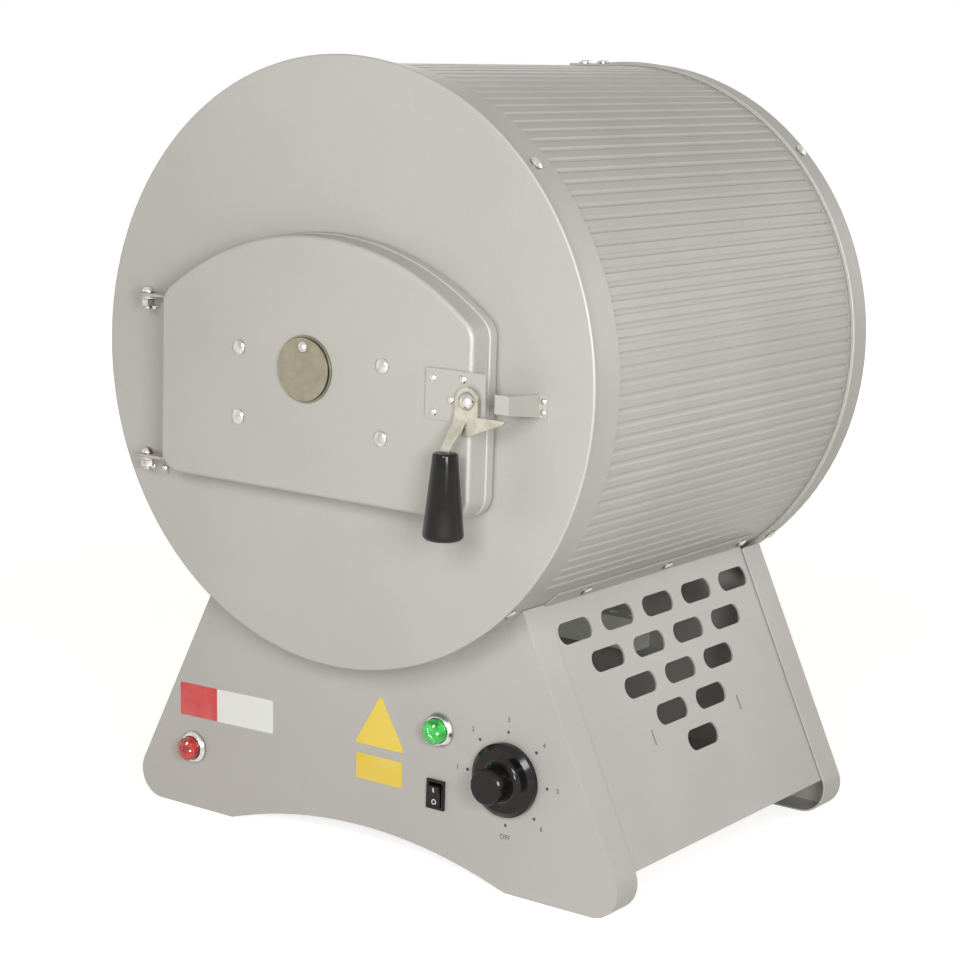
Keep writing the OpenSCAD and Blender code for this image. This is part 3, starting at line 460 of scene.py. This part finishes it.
FINISHES = {
    Slot.CASING_PAINT: PowderCoat("casing_paint", linear(181, 177, 172), linear(175, 171, 166)),
    Slot.WRAP_PAINT: PowderCoat("wrap_paint", linear(178, 175, 169), linear(171, 168, 161)),
    Slot.BRIGHT_ZINC: PlatedMetal("bright_zinc", linear(214, 211, 205),
                                  linear(176, 172, 164), 0.18),
    Slot.LEVER_ZINC: PlatedMetal("lever_zinc", linear(204, 201, 188),
                                 linear(182, 178, 163), 0.36),
    Slot.COVER_STEEL: PlatedMetal("cover_steel", linear(158, 152, 135),
                                  linear(146, 140, 122), 0.42),
    Slot.FIBRE: FiredCeramic("fibre", linear(238, 232, 216),
                             linear(206, 192, 164), 420.0, 0.5 * MM),
    Slot.MUFFLE_CERAMIC: FiredCeramic("muffle_ceramic", linear(214, 190, 160),
                                      linear(168, 132, 98), 700.0, 0.2 * MM),
    Slot.WHITE_CERAMIC: FiredCeramic("white_ceramic", linear(236, 234, 226),
                                     linear(214, 210, 200), 900.0, 0.05 * MM),
    Slot.HEATING_ALLOY: PlatedMetal("heating_alloy", linear(120, 104, 92),
                                    linear(84, 66, 56), 0.55),
    Slot.BLACK_PLASTIC: Moulded("black_plastic", linear(14, 12, 10), 0.1, ior=1.36),
    Slot.GREY_PLASTIC: Moulded("grey_plastic", linear(70, 70, 70), 0.5, 0.15),
    Slot.BEZEL_METAL: PlatedMetal("bezel_metal", linear(214, 214, 212), linear(180, 181, 181), 0.2),
    Slot.RED_LENS: LampPlastic("red_lens", linear(190, 30, 14), linear(200, 30, 10), 0.05),
    Slot.GREEN_LENS: LampPlastic("green_lens", linear(40, 190, 70), linear(60, 220, 90), 0.12),
}


@dataclass(frozen=True)
class SoftLamp:
    """A soft square lamp that points at the object; its power is in watts."""

    name: str
    place: Place
    side: float
    power: float
    colour: Tint = (1.0, 1.0, 1.0)
    aim: Place = (0.0, 0.0, 0.28)

    def hang(self) -> None:
        """Hangs the lamp in the scene."""
        data = bpy.data.lights.new(self.name, "AREA")
        data.size = self.side
        data.energy = self.power
        data.color = self.colour
        lamp = bpy.data.objects.new(self.name, data)
        lamp.location = self.place
        aim = Vector(self.aim) - Vector(self.place)
        lamp.rotation_euler = aim.to_track_quat("-Z", "Y").to_euler()
        bpy.context.scene.collection.objects.link(lamp)


@dataclass(frozen=True)
class Studio:
    """Camera, floor and light of the picture."""

    target: Place = (-11.71 * MM, 25.85 * MM, 246.95 * MM)
    distance: float = 1778.1 * MM
    azimuth: float = 35.201
    elevation: float = 10.653
    roll: float = 1.869
    focal: float = 90.49
    sensor: float = 36.0
    floor_half: float = 12.0
    floor_grain: float = 30.0
    floor_colours: tuple[Colour, Colour] = (linear(202, 200, 196), linear(206, 204, 200))
    floor_span: Span = (0.7, 2.5)
    floor_lift: Span = (0.76, 1.0)
    room_strength: float = 0.2
    room_span: Span = (0.05, 0.75)
    room_low: Colour = (0.55, 0.52, 0.49, 1.0)
    room_high: Colour = (1.0, 0.90, 0.64, 1.0)
    lamps: tuple[SoftLamp, ...] = (
        SoftLamp("side_key", (1.3, -1.2, 0.6), 0.45, 17.8, (0.95, 0.99, 1.0)),
        SoftLamp("front_key", (0.7, -1.8, 0.9), 0.6, 19.1, (0.95, 0.99, 1.0)),
        SoftLamp("left_fill", (-2.2, -1.5, 0.9), 1.6, 3.1, (1.0, 0.93, 0.85)),
        SoftLamp("back", (1.6, 2.0, 1.2), 1.6, 11.0),
        SoftLamp("back_left", (-1.9, 1.9, 1.0), 1.6, 12.0))

    def camera(self) -> bpy.types.Object:
        """Places the camera at the photograph's viewing angle and makes it the scene's own.

        Returns:
            The camera.
        """
        turn, lift = math.radians(self.azimuth), math.radians(self.elevation)
        back = Vector((math.sin(turn) * math.cos(lift), -math.cos(turn) * math.cos(lift),
                       math.sin(lift)))
        level = (-back).cross(Vector((0, 0, 1))).normalized()
        rise = level.cross(-back).normalized()
        tilt = math.radians(self.roll)
        right = math.cos(tilt) * level + math.sin(tilt) * rise
        up = -math.sin(tilt) * level + math.cos(tilt) * rise
        data = bpy.data.cameras.new("camera")
        data.lens = self.focal
        data.sensor_width = self.sensor
        camera = bpy.data.objects.new("camera", data)
        place = Vector(self.target) + self.distance * back
        camera.matrix_world = Matrix.Translation(place) @ Matrix(
            (right, up, back)).transposed().to_4x4()
        bpy.context.scene.collection.objects.link(camera)
        bpy.context.scene.camera = camera
        return camera

    def floor(self) -> bpy.types.Object:
        """Makes the plain pale floor.

        Returns:
            The floor.
        """
        mesh = bpy.data.meshes.new("floor")
        work = bmesh.new()
        bmesh.ops.create_grid(work, x_segments=1, y_segments=1, size=self.floor_half)
        work.to_mesh(mesh)
        work.free()
        floor = bpy.data.objects.new("floor", mesh)
        bpy.context.scene.collection.objects.link(floor)
        mesh.materials.append(self.floor_paper())
        return floor

    def seen(self, graph: Graph) -> Socket:
        """Tells the rays that show a surface to the eye from those that only light the object.

        Args:
            graph: The graph that the answer is for.

        Returns:
            1 where the camera, a reflection or glass looks, and 0 elsewhere.
        """
        path = graph.node("ShaderNodeLightPath")
        answer = path.outputs["Is Camera Ray"]
        for kind in ("Is Glossy Ray", "Is Transmission Ray"):
            answer = graph.node("ShaderNodeMath", {0: answer, 1: path.outputs[kind]},
                                operation="MAXIMUM").outputs[0]
        return answer

    def floor_paper(self) -> bpy.types.Material:
        """Makes the floor's paper: white to the camera, with the object's shadow kept.

        Returns:
            The material.
        """
        graph = Graph("floor_paper")
        seen = self.seen(graph)
        colour = graph.blend(graph.noise(self.floor_grain), *self.floor_colours)
        paper = graph.node("ShaderNodeBsdfDiffuse", {"Color": colour})
        away = graph.node("ShaderNodeVectorMath", {0: graph.place}, operation="LENGTH")
        strength = graph.ramp(away.outputs["Value"], self.floor_span, self.floor_lift)
        lift = graph.node("ShaderNodeEmission", {"Color": WHITE, "Strength": strength})
        both = graph.node("ShaderNodeAddShader", {0: paper.outputs[0], 1: lift.outputs[0]})
        mix = graph.node("ShaderNodeMixShader", {0: seen, 1: paper.outputs[0], 2: both.outputs[0]})
        graph.close(mix)
        return graph.owner

    def world(self) -> None:
        """Lights the room softly, darker and greyer below, and shows white behind."""
        graph = Graph("room", world=True)
        seen = self.seen(graph)
        split = graph.node("ShaderNodeSeparateXYZ", {0: graph.coordinates.outputs["Generated"]})
        height = graph.ramp(split.outputs["Z"], self.room_span)
        tint = graph.blend(height, self.room_low, self.room_high)
        room = graph.node("ShaderNodeBackground", {"Color": tint, "Strength": self.room_strength})
        white = graph.node("ShaderNodeBackground", {"Color": WHITE})
        graph.close(graph.node("ShaderNodeMixShader", {
            0: seen, 1: room.outputs[0], 2: white.outputs[0]}))
        bpy.context.scene.world = graph.owner

    def build(self) -> None:
        """Sets up the whole studio."""
        self.camera()
        self.floor()
        self.world()
        for lamp in self.lamps:
            lamp.hang()
        bpy.context.scene.view_settings.view_transform = "Standard"
        LOG.info("studio ready")


def across(work: Mesh, matrix: Matrix) -> Mesh:
    """Moves a whole mesh by a matrix and returns it."""
    bmesh.ops.transform(work, matrix=matrix, verts=work.verts)
    return work


def gathered(parts: list[Mesh]) -> Mesh:
    """Joins several meshes into one.

    Args:
        parts: The meshes, which are freed.

    Returns:
        The joined mesh.
    """
    whole = bmesh.new()
    for part in parts:
        mesh = bpy.data.meshes.new("part")
        part.to_mesh(mesh)
        part.free()
        whole.from_mesh(mesh)
        bpy.data.meshes.remove(mesh)
    return whole


def turned(profile: list[tuple[float, float]], steps: int, closed: bool = False) -> Mesh:
    """Turns a profile round the Z axis.

    Args:
        profile: Points as radius and height, in millimetres.
        steps: Steps of the full turn.
        closed: Whether the last point joins the first, as in a ring.

    Returns:
        The turned mesh, with its faces outwards.
    """
    work = bmesh.new()
    points = [work.verts.new((radius * MM, 0, height * MM)) for radius, height in profile]
    pairs = list(zip(points, points[1:]))
    if closed:
        pairs.append((points[-1], points[0]))
    lines = [work.edges.new(pair) for pair in pairs]
    bmesh.ops.spin(work, geom=points + lines, cent=(0, 0, 0), axis=(0, 0, 1),
                   angle=2 * math.pi, steps=steps, use_merge=True)
    bmesh.ops.remove_doubles(work, verts=work.verts, dist=DOUBLES)
    bmesh.ops.recalc_face_normals(work, faces=work.faces)
    return work


def raised(work: Mesh, thickness: float) -> Mesh:
    """Gives a flat mesh in the XY plane a thickness upwards.

    Args:
        work: The flat mesh.
        thickness: Its thickness in millimetres.

    Returns:
        The same mesh, now closed.
    """
    made = bmesh.ops.extrude_face_region(work, geom=work.faces[:], use_keep_orig=True)
    tops = [part for part in made["geom"] if isinstance(part, bmesh.types.BMVert)]
    bmesh.ops.translate(work, vec=(0, 0, thickness * MM), verts=tops)
    bmesh.ops.recalc_face_normals(work, faces=work.faces)
    return work


def rounded(work: Mesh, corner: float, steps: int = 4) -> Mesh:
    """Rounds the corners of a flat mesh.

    Args:
        work: The flat mesh.
        corner: The corners' radius in millimetres.
        steps: Steps of each corner.

    Returns:
        The same mesh.
    """
    bmesh.ops.bevel(work, geom=work.verts[:], offset=corner * MM, offset_type="OFFSET",
                    affect="VERTICES", segments=steps, profile=0.5, material=-1)
    return work


def card(width: float, height: float, corner: float, thickness: float) -> Mesh:
    """Makes a thin plate with round corners, centred on the origin.

    Args:
        width: Its width in millimetres.
        height: Its height.
        corner: Its corner radius.
        thickness: How far it stands up.

    Returns:
        The plate.
    """
    work = bmesh.new()
    bmesh.ops.create_grid(work, x_segments=1, y_segments=1, size=0.5)
    bmesh.ops.scale(work, vec=(width * MM, height * MM, 1), verts=work.verts)
    return raised(rounded(work, corner), thickness)


def lettering(text: str, height: float, thickness: float, em: float = 1.38,
              steps: int = 3) -> Mesh:
    """Makes plain raised figures or letters, centred on the origin.

    Args:
        text: What is written.
        height: Height of a figure in millimetres.
        thickness: How far it stands up.
        em: The type's own size for each millimetre of a figure's height.
        steps: Steps of each curve of a figure.

    Returns:
        The figures as a mesh.
    """
    curve = bpy.data.curves.new("figures", "FONT")
    curve.body = text
    curve.size = em * height * MM
    curve.align_x = "CENTER"
    curve.align_y = "CENTER"
    curve.resolution_u = steps
    curve.extrude = thickness / 2 * MM
    holder = bpy.data.objects.new("figures", curve)
    work = bmesh.new()
    work.from_mesh(holder.to_mesh())
    holder.to_mesh_clear()
    bpy.data.objects.remove(holder)
    bpy.data.curves.remove(curve)
    bmesh.ops.remove_doubles(work, verts=work.verts, dist=DOUBLES)
    bmesh.ops.translate(work, vec=(0, 0, thickness / 2 * MM), verts=work.verts)
    return work


def islands(node: str, merge: float = 0.005) -> list[list[Vector]]:
    """Splits a CAD node into its separate solids.

    Args:
        node: The node's name.
        merge: Corners closer than this many millimetres are one.

    Returns:
        The points of each solid.
    """
    work = bmesh.new()
    work.from_mesh(frame["nodes"][node].data)
    bmesh.ops.remove_doubles(work, verts=work.verts, dist=merge * MM)
    reached = set()
    solids = []
    for start in work.verts:
        if start in reached:
            continue
        reached.add(start)
        front = [start]
        points = []
        while front:
            point = front.pop()
            points.append(point.co.copy())
            for edge in point.link_edges:
                other = edge.other_vert(point)
                if other not in reached:
                    reached.add(other)
                    front.append(other)
        solids.append(points)
    work.free()
    return solids


def standing(direction: Vector, place: Vector) -> Matrix:
    """Gives the matrix that puts a shape made along Z at a place, along a direction."""
    return Matrix.Translation(place) @ direction.to_track_quat("Z", "Y").to_matrix().to_4x4()


@dataclass(frozen=True)
class Seats:
    """Places on the base's front panel and on the drum, read from the frame, in metres."""

    panel_y: float
    axis_z: float

    @classmethod
    def measured(cls) -> "Seats":
        """Reads the places from the CAD nodes."""
        low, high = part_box("front_cap")
        return cls(panel_y=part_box("base_front_panel")[0][1], axis_z=(low[2] + high[2]) / 2)

    def on_panel(self, x: float, z: float, turn: float = 0.0) -> Matrix:
        """Places a shape made along Z on the front panel, facing forwards.

        Args:
            x: Sideways place in millimetres.
            z: Height in millimetres.
            turn: Turn to the left, in degrees.

        Returns:
            The matrix.
        """
        return (Matrix.Translation((x * MM, self.panel_y, z * MM))
                @ Matrix.Rotation(math.pi / 2, 4, "X")
                @ Matrix.Rotation(math.radians(turn), 4, "Z"))


class Workshop:
    """Holds the materials and turns meshes into pieces."""

    def __init__(self) -> None:
        """Builds the material of every slot and reads the places from the frame."""
        self.materials = {slot: finish.build() for slot, finish in FINISHES.items()}
        self.seats = Seats.measured()

    def piece(self, name: str, work: Mesh, body: Body, slot: Slot, smooth: float = 30.0,
              material: bpy.types.Material | None = None) -> bpy.types.Object:
        """Turns a finished mesh into a piece that rides on a body.

        Args:
            name: The piece's name.
            work: Its mesh, which is freed.
            body: The body that it rides on.
            slot: The record's slot that it takes its finish from.
            smooth: Edges sharper than this many degrees stay sharp.
            material: Its material where it isn't the slot's own.

        Returns:
            The new object, at the origin.
        """
        limit = math.radians(smooth)
        for face in work.faces:
            face.smooth = True
        for edge in work.edges:
            edge.smooth = len(edge.link_faces) == 2 and edge.calc_face_angle(0.0) < limit
        mesh = bpy.data.meshes.new(name)
        work.to_mesh(mesh)
        work.free()
        mesh.materials.append(material or self.materials[slot])
        piece = bpy.data.objects.new(name, mesh)
        bpy.context.scene.collection.objects.link(piece)
        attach(piece, body.value)
        LOG.info("piece %s: %d faces", name, len(mesh.polygons))
        return piece


@dataclass
class CarriedNodes:
    """The CAD nodes that stay: their finish, smooth shading and softened edges."""

    shop: Workshop
    merge: float = 0.01
    flat: float = 0.4
    sharp: float = 32.0
    edge_steps: int = 2
    level_weight: int = 50
    soft_edges: dict[str, float] = field(default_factory=lambda: {
        "front_cap": 0.4, "rear_cap": 0.3, "base_front_panel": 0.7, "base_rear_panel": 0.7,
        "base_side_right": 0.4, "base_side_left": 0.4, "door_pan": 0.4, "door_back_plate": 0.3,
        "top_strap": 0.4, "latch_plate": 0.6, "latch_lever": 0.7, "keeper": 0.5,
        "hinge_brackets": 0.4, "door_hinge_leaves": 0.4, "peephole_cover": 0.4,
        "peephole_tube": 0.4, "regulator_knob": 0.5, "switch_body": 0.5, "switch_rocker": 0.6,
        "lamp_bezels": 0.5, "cable_gland": 0.5, "hinge_bolts": 0.3, "muffle": 1.0,
        "front_collar": 1.5, "door_insulation": 1.5, "terminal_block": 0.6})

    def shading(self) -> bpy.types.NodeTree:
        """Makes the node group that shades smooth across all but the sharp edges.

        Returns:
            The node group.
        """
        tree = bpy.data.node_groups.new("smooth_by_angle", "GeometryNodeTree")
        tree.is_modifier = True
        for way in ("INPUT", "OUTPUT"):
            tree.interface.new_socket("Geometry", in_out=way, socket_type="NodeSocketGeometry")
        start = tree.nodes.new("NodeGroupInput")
        end = tree.nodes.new("NodeGroupOutput")
        angle = tree.nodes.new("GeometryNodeInputMeshEdgeAngle")
        gentle = tree.nodes.new("FunctionNodeCompare")
        gentle.data_type = "FLOAT"
        gentle.operation = "LESS_THAN"
        gentle.inputs["B"].default_value = math.radians(self.sharp)
        faces = tree.nodes.new("GeometryNodeSetShadeSmooth")
        edges = tree.nodes.new("GeometryNodeSetShadeSmooth")
        edges.domain = "EDGE"
        tree.links.new(start.outputs[0], faces.inputs["Geometry"])
        tree.links.new(faces.outputs[0], edges.inputs["Geometry"])
        tree.links.new(angle.outputs["Unsigned Angle"], gentle.inputs["A"])
        tree.links.new(gentle.outputs[0], edges.inputs["Shade Smooth"])
        tree.links.new(edges.outputs[0], end.inputs[0])
        return tree

    def soften(self, node: bpy.types.Object, width: float, shading: bpy.types.NodeTree) -> None:
        """Merges a node's loose triangles, softens its edges and shades it smooth.

        Args:
            node: The node's object, whose mesh stays as it is.
            width: Width of a softened edge in millimetres, or 0 for none.
            shading: The node group of the smooth shading.
        """
        weld = node.modifiers.new("weld", "WELD")
        weld.merge_threshold = self.merge * MM
        flat = node.modifiers.new("flat", "DECIMATE")
        flat.decimate_type = "DISSOLVE"
        flat.angle_limit = math.radians(self.flat)
        if width > 0:
            bevel = node.modifiers.new("edges", "BEVEL")
            bevel.width = width * MM
            bevel.segments = self.edge_steps
            bevel.limit_method = "ANGLE"
            bevel.angle_limit = math.radians(self.sharp)
        smooth = node.modifiers.new("shading", "NODES")
        smooth.node_group = shading
        level = node.modifiers.new("level", "WEIGHTED_NORMAL")
        level.mode = "FACE_AREA"
        level.weight = self.level_weight
        level.keep_sharp = True

    def dress(self) -> None:
        """Gives each node its slot's material and its modifiers."""
        shading = self.shading()
        slots = {row["node"]: Slot(row["material_slot"]) for row in frame["record"]["subparts"]}
        for name, node in frame["nodes"].items():
            material = self.shop.materials[slots[name]]
            if not node.material_slots:
                node.data.materials.append(material)
            for place in node.material_slots:
                place.material = material
            self.soften(node, self.soft_edges.get(name, 0.0), shading)
        LOG.info("%d nodes dressed", len(frame["nodes"]))


@dataclass
class CrossScrews:
    """Screws with a domed head and a cross recess, in place of plain CAD screws.

    A head has a radius and a height, and its shape is given as shares of them. Only the
    skirt, which the head sinks into the sheet, is in millimetres.
    """

    shop: Workshop
    drum_head: tuple[float, float] = (4.6, 2.7)
    strap_head: tuple[float, float] = (4.5, 3.0)
    door_head: tuple[float, float] = (5.2, 3.0)
    rim: float = 0.35
    dome: float = 0.96
    recess: float = 0.5
    arm: float = 0.6
    taper: float = 0.8
    cells: int = 9
    skirt: float = 0.2
    first_turn: float = 12.0
    next_turn: float = 37.0
    smooth: float = 40.0

    def head(self, radius: float, height: float) -> Mesh:
        """Makes one head that stands on the origin along Z.

        Args:
            radius: Its radius in millimetres.
            height: Its height.

        Returns:
            The head.
        """
        work = bmesh.new()
        bmesh.ops.create_grid(work, x_segments=self.cells, y_segments=self.cells, size=1.0)
        cross = []
        for face in work.faces:
            middle = face.calc_center_median()
            near, far = sorted((abs(middle.x), abs(middle.y)))
            if near < 1 / self.cells and far < self.arm:
                cross.append(face)
        rim = self.rim * height
        for point in work.verts:
            x, y = point.co.x, point.co.y
            x, y = x * math.sqrt(1 - y * y / 2), y * math.sqrt(1 - x * x / 2)
            fall = math.sqrt(max(0.0, 1 - self.dome * (x * x + y * y)))
            point.co = Vector((x * radius, y * radius, rim + (height - rim) * fall)) * MM
        made = bmesh.ops.extrude_face_region(work, geom=cross)
        sunk = [part for part in made["geom"] if isinstance(part, bmesh.types.BMVert)]
        bmesh.ops.translate(work, vec=(0, 0, -self.recess * height * MM), verts=sunk)
        bmesh.ops.scale(work, vec=(self.taper, self.taper, 1), verts=sunk)
        open_edges = [edge for edge in work.edges if edge.is_boundary]
        skirt = bmesh.ops.extrude_edge_only(work, edges=open_edges)
        for part in skirt["geom"]:
            if isinstance(part, bmesh.types.BMVert):
                part.co.z = -self.skirt * MM
        bmesh.ops.recalc_face_normals(work, faces=work.faces)
        return work

    def replace(self, node: str, body: Body, size: tuple[float, float],
                direction: Vector | None = None) -> None:
        """Replaces every screw of a node.

        Args:
            node: The node with the plain screws.
            body: The body that they ride on.
            size: Radius and height of a head in millimetres.
            direction: Where the heads point, or None to point away from the drum's axis.
        """
        radius, height = size
        axis = self.shop.seats.axis_z
        heads = []
        for number, points in enumerate(sorted(islands(node), key=lambda solid: tuple(solid[0]))):
            middle = sum(points, Vector()) / len(points)
            out = direction or Vector((middle.x, 0, middle.z - axis)).normalized()
            top = max(point.dot(out) for point in points)
            seat = middle + out * (top - height * MM - middle.dot(out))
            turn = math.radians(self.next_turn * number + self.first_turn)
            spin = Matrix.Rotation(turn, 4, "Z")
            heads.append(across(self.head(radius, height), standing(out, seat) @ spin))
        piece = self.shop.piece(node + "_heads", gathered(heads), body, Slot.BRIGHT_ZINC,
                                self.smooth)
        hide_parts(node)

    def build(self) -> None:
        """Makes all cross-head screws."""
        self.replace("cap_screws", Body.CASING, self.drum_head)
        self.replace("side_screws", Body.CASING, self.drum_head)
        self.replace("strap_screws", Body.CASING, self.strap_head)
        self.replace("door_screws", Body.DOOR, self.door_head, Vector((0, -1, 0)))


@dataclass
class Grip:
    """The glossy tapered grip of the latch."""

    shop: Workshop
    top_share: float = 0.617
    top_round: float = 1.8
    low_round: float = 3.5
    arc_steps: int = 6
    steps: int = 64
    smooth: float = 50.0

    def build(self) -> None:
        """Turns the grip to the size of its CAD node and replaces it."""
        low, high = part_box("latch_grip")
        middle = (Vector(low) + Vector(high)) / 2
        low_r = (high[0] - low[0]) / 2 / MM
        length = (high[2] - low[2]) / MM
        top_r = self.top_share * low_r
        arc = [math.radians(90 / self.arc_steps * step) for step in range(self.arc_steps + 1)]
        profile = [(0, length), (top_r - self.top_round, length)]
        profile += [(top_r - self.top_round * (1 - math.sin(a)),
                     length - self.top_round * (1 - math.cos(a))) for a in arc[1:]]
        profile += [(low_r - self.low_round * (1 - math.cos(a)), self.low_round * (1 - math.sin(a)))
                    for a in arc]
        profile.append((0, 0))
        foot = Matrix.Translation((middle.x, middle.y, low[2]))
        work = across(turned(profile, self.steps), foot)
        piece = self.shop.piece("latch_grip_turned", work, Body.LATCH, Slot.BLACK_PLASTIC,
                                self.smooth)
        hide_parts("latch_grip")


@dataclass
class Lamps:
    """Faceted lenses of the two lamps; a ring is a share of the radius and a height."""

    shop: Workshop
    facets: int = 16
    facets_from: float = 9.0
    facet_drop: float = 0.3
    facet_in: float = 0.97
    smooth: float = 12.0
    rings: tuple[tuple[float, float], ...] = ((1.0, 0.0), (1.0, 8.4), (0.97, 9.4), (0.84, 10.9),
                                              (0.66, 11.9), (0.44, 12.6), (0.2, 12.95), (0.0, 13.0))

    def lens(self, node: str, name: str, slot: Slot) -> None:
        """Turns one lens in the place of its CAD node.

        Args:
            node: The plain CAD lens.
            name: The new piece's name.
            slot: Its slot.
        """
        low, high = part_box(node)
        middle = (Vector(low) + Vector(high)) / 2
        radius = (high[0] - low[0]) / 2 / MM
        work = turned([(radius * share, height) for share, height in self.rings], 2 * self.facets)
        for point in work.verts:
            angle = math.atan2(point.co.y, point.co.x)
            if point.co.z > self.facets_from * MM and round(angle / math.pi * self.facets) % 2:
                point.co.z -= self.facet_drop * MM
                point.co.xy *= self.facet_in
        place = self.shop.seats.on_panel(middle.x / MM, middle.z / MM)
        piece = self.shop.piece(name, across(work, place), Body.CASING, slot, self.smooth)
        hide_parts(node)

    def build(self) -> None:
        """Makes both lenses."""
        self.lens("red_lens", "red_lens_cut", Slot.RED_LENS)
        self.lens("green_lens", "green_lens_cut", Slot.GREEN_LENS)


@dataclass
class Markings:
    """Blank plates on the front panel and the plain marks round the dial.

    A plate is given as its middle's sideways place and height, its width and its own height.
    """

    shop: Workshop
    film: float = 0.3
    ink: float = 0.08
    plate_corner: float = 1.2
    triangle_corner: float = 2.5
    dial: tuple[float, float] = (121.0, 80.5)
    dot_ring: float = 32.5
    figure_ring: float = 41.0
    dot_r: float = 1.2
    dot_steps: int = 16
    figure_h: float = 3.6
    dial_marks: tuple[tuple[float, str], ...] = ((180, "1"), (135, "2"), (90, "3"), (45, "4"),
                                                 (0, "5"), (-45, "6"), (-90, "OFF"))
    label: tuple[float, float, float, float] = (-128.4, 82.2, 89.0, 24.5)
    label_turn: float = 1.4
    label_seam: float = 0.3
    red_share: float = 0.4
    notice: tuple[float, float, float, float] = (13.0, 64.3, 40.0, 18.5)
    triangle: tuple[float, float, float] = (13.0, 93.0, 25.0)
    red: Colour = linear(204, 56, 58)
    white: Colour = linear(226, 224, 222)
    yellow: Colour = linear(222, 190, 60)
    triangle_yellow: Colour = linear(226, 194, 58)
    ink_colour: Colour = linear(44, 42, 44)
    ink_roughness: float = 0.5

    def stick(self, name: str, flat: Mesh, place: Matrix, colour: Colour) -> None:
        """Sticks one film on the panel.

        Args:
            name: The piece's name.
            flat: Its shape, which already has its thickness.
            place: Where it goes.
            colour: Its colour.
        """
        film = PrintedFilm(name, colour).build()
        self.shop.piece(name, across(flat, place), Body.CASING, Slot.BEZEL_METAL, material=film)

    def plates(self) -> None:
        """Makes the red and white plate and the two yellow ones, all blank."""
        on_panel = self.shop.seats.on_panel
        x, z, width, height = self.label
        red_w = self.red_share * width
        white_w = width - red_w - self.label_seam
        step = Matrix.Rotation(math.radians(self.label_turn), 2)
        red = step @ Vector((-(width - red_w) / 2, 0))
        white = step @ Vector((red_w / 2, 0))
        self.stick("label_red", card(red_w, height, self.plate_corner, self.film),
                   on_panel(x + red.x, z + red.y, self.label_turn), self.red)
        self.stick("label_white", card(white_w, height, self.plate_corner, self.film),
                   on_panel(x + white.x, z + white.y, self.label_turn), self.white)
        x, z, width, height = self.notice
        self.stick("notice_plate", card(width, height, self.plate_corner, self.film),
                   on_panel(x, z), self.yellow)
        x, z, radius = self.triangle
        work = bmesh.new()
        bmesh.ops.create_circle(work, cap_ends=True, radius=radius * MM, segments=3)
        self.stick("notice_triangle", raised(rounded(work, self.triangle_corner), self.film),
                   on_panel(x, z), self.triangle_yellow)

    def dial_print(self) -> None:
        """Prints the dots and figures round the dial."""
        parts = []
        x, z = self.dial
        for angle, figure in self.dial_marks:
            turn = math.radians(angle)
            dot = bmesh.new()
            bmesh.ops.create_circle(dot, cap_ends=True, radius=self.dot_r * MM,
                                    segments=self.dot_steps)
            print_run = ((raised(dot, self.ink), self.dot_ring),
                         (lettering(figure, self.figure_h, self.ink), self.figure_ring))
            for mark, ring in print_run:
                parts.append(across(mark, self.shop.seats.on_panel(
                    x + ring * math.cos(turn), z + ring * math.sin(turn))))
        ink = PrintedFilm("dial_ink", self.ink_colour, self.ink_roughness).build()
        self.shop.piece("dial_marks", gathered(parts), Body.CASING, Slot.BLACK_PLASTIC,
                        material=ink)

    def build(self) -> None:
        """Makes the plates and the marks."""
        self.plates()
        self.dial_print()


@dataclass
class SwitchMarks:
    """The stroke and the ring on the two halves of the rocker."""

    shop: Workshop
    tilt: float = 7.0
    pin_in: float = 1.5
    middle: float = 4.2
    end: float = 5.5
    reach: float = 7.4
    at: float = 4.3
    stroke: tuple[float, float, float] = (1.0, 3.6, 0.2)
    ring_in: float = 1.3
    ring_out: float = 1.9
    ring_steps: int = 24
    ink: float = 0.08
    ink_colour: Colour = linear(228, 226, 220)
    ink_roughness: float = 0.5

    def place(self, side: int) -> Matrix:
        """Finds the place of a mark on the rocker, at rest.

        Args:
            side: 1 for the upper half, -1 for the lower one.

        Returns:
            The matrix.
        """
        low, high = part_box("switch_rocker")
        x = (low[0] + high[0]) / 2 / MM
        z = (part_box("switch_body")[0][2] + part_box("switch_body")[1][2]) / 2 / MM
        slope = math.atan2(self.end - self.middle, self.reach)
        out = self.middle + self.at * math.tan(slope)
        pin = self.shop.seats.on_panel(x, z) @ Matrix.Translation((0, 0, -self.pin_in * MM))
        face = (Matrix.Rotation(math.radians(self.tilt), 4, "X")
                @ Matrix.Translation((0, side * self.at * MM, out * MM))
                @ Matrix.Rotation(side * slope, 4, "X"))
        return pin @ face

    def build(self) -> None:
        """Prints both marks."""
        stroke = across(card(*self.stroke, self.ink), self.place(1))
        outline = [(self.ring_in, 0), (self.ring_out, 0), (self.ring_out, self.ink),
                   (self.ring_in, self.ink)]
        ring = across(turned(outline, self.ring_steps, closed=True), self.place(-1))
        ink = PrintedFilm("switch_ink", self.ink_colour, self.ink_roughness).build()
        self.shop.piece("rocker_marks", gathered([stroke, ring]), Body.ROCKER, Slot.BEZEL_METAL,
                        material=ink)


def main() -> None:
    """Builds the scene."""
    logging.basicConfig(level=logging.INFO, format="%(name)s: %(message)s")
    Studio().build()
    shop = Workshop()
    CarriedNodes(shop).dress()
    CrossScrews(shop).build()
    Grip(shop).build()
    Lamps(shop).build()
    Markings(shop).build()
    SwitchMarks(shop).build()


if __name__ == "__main__":
    main()
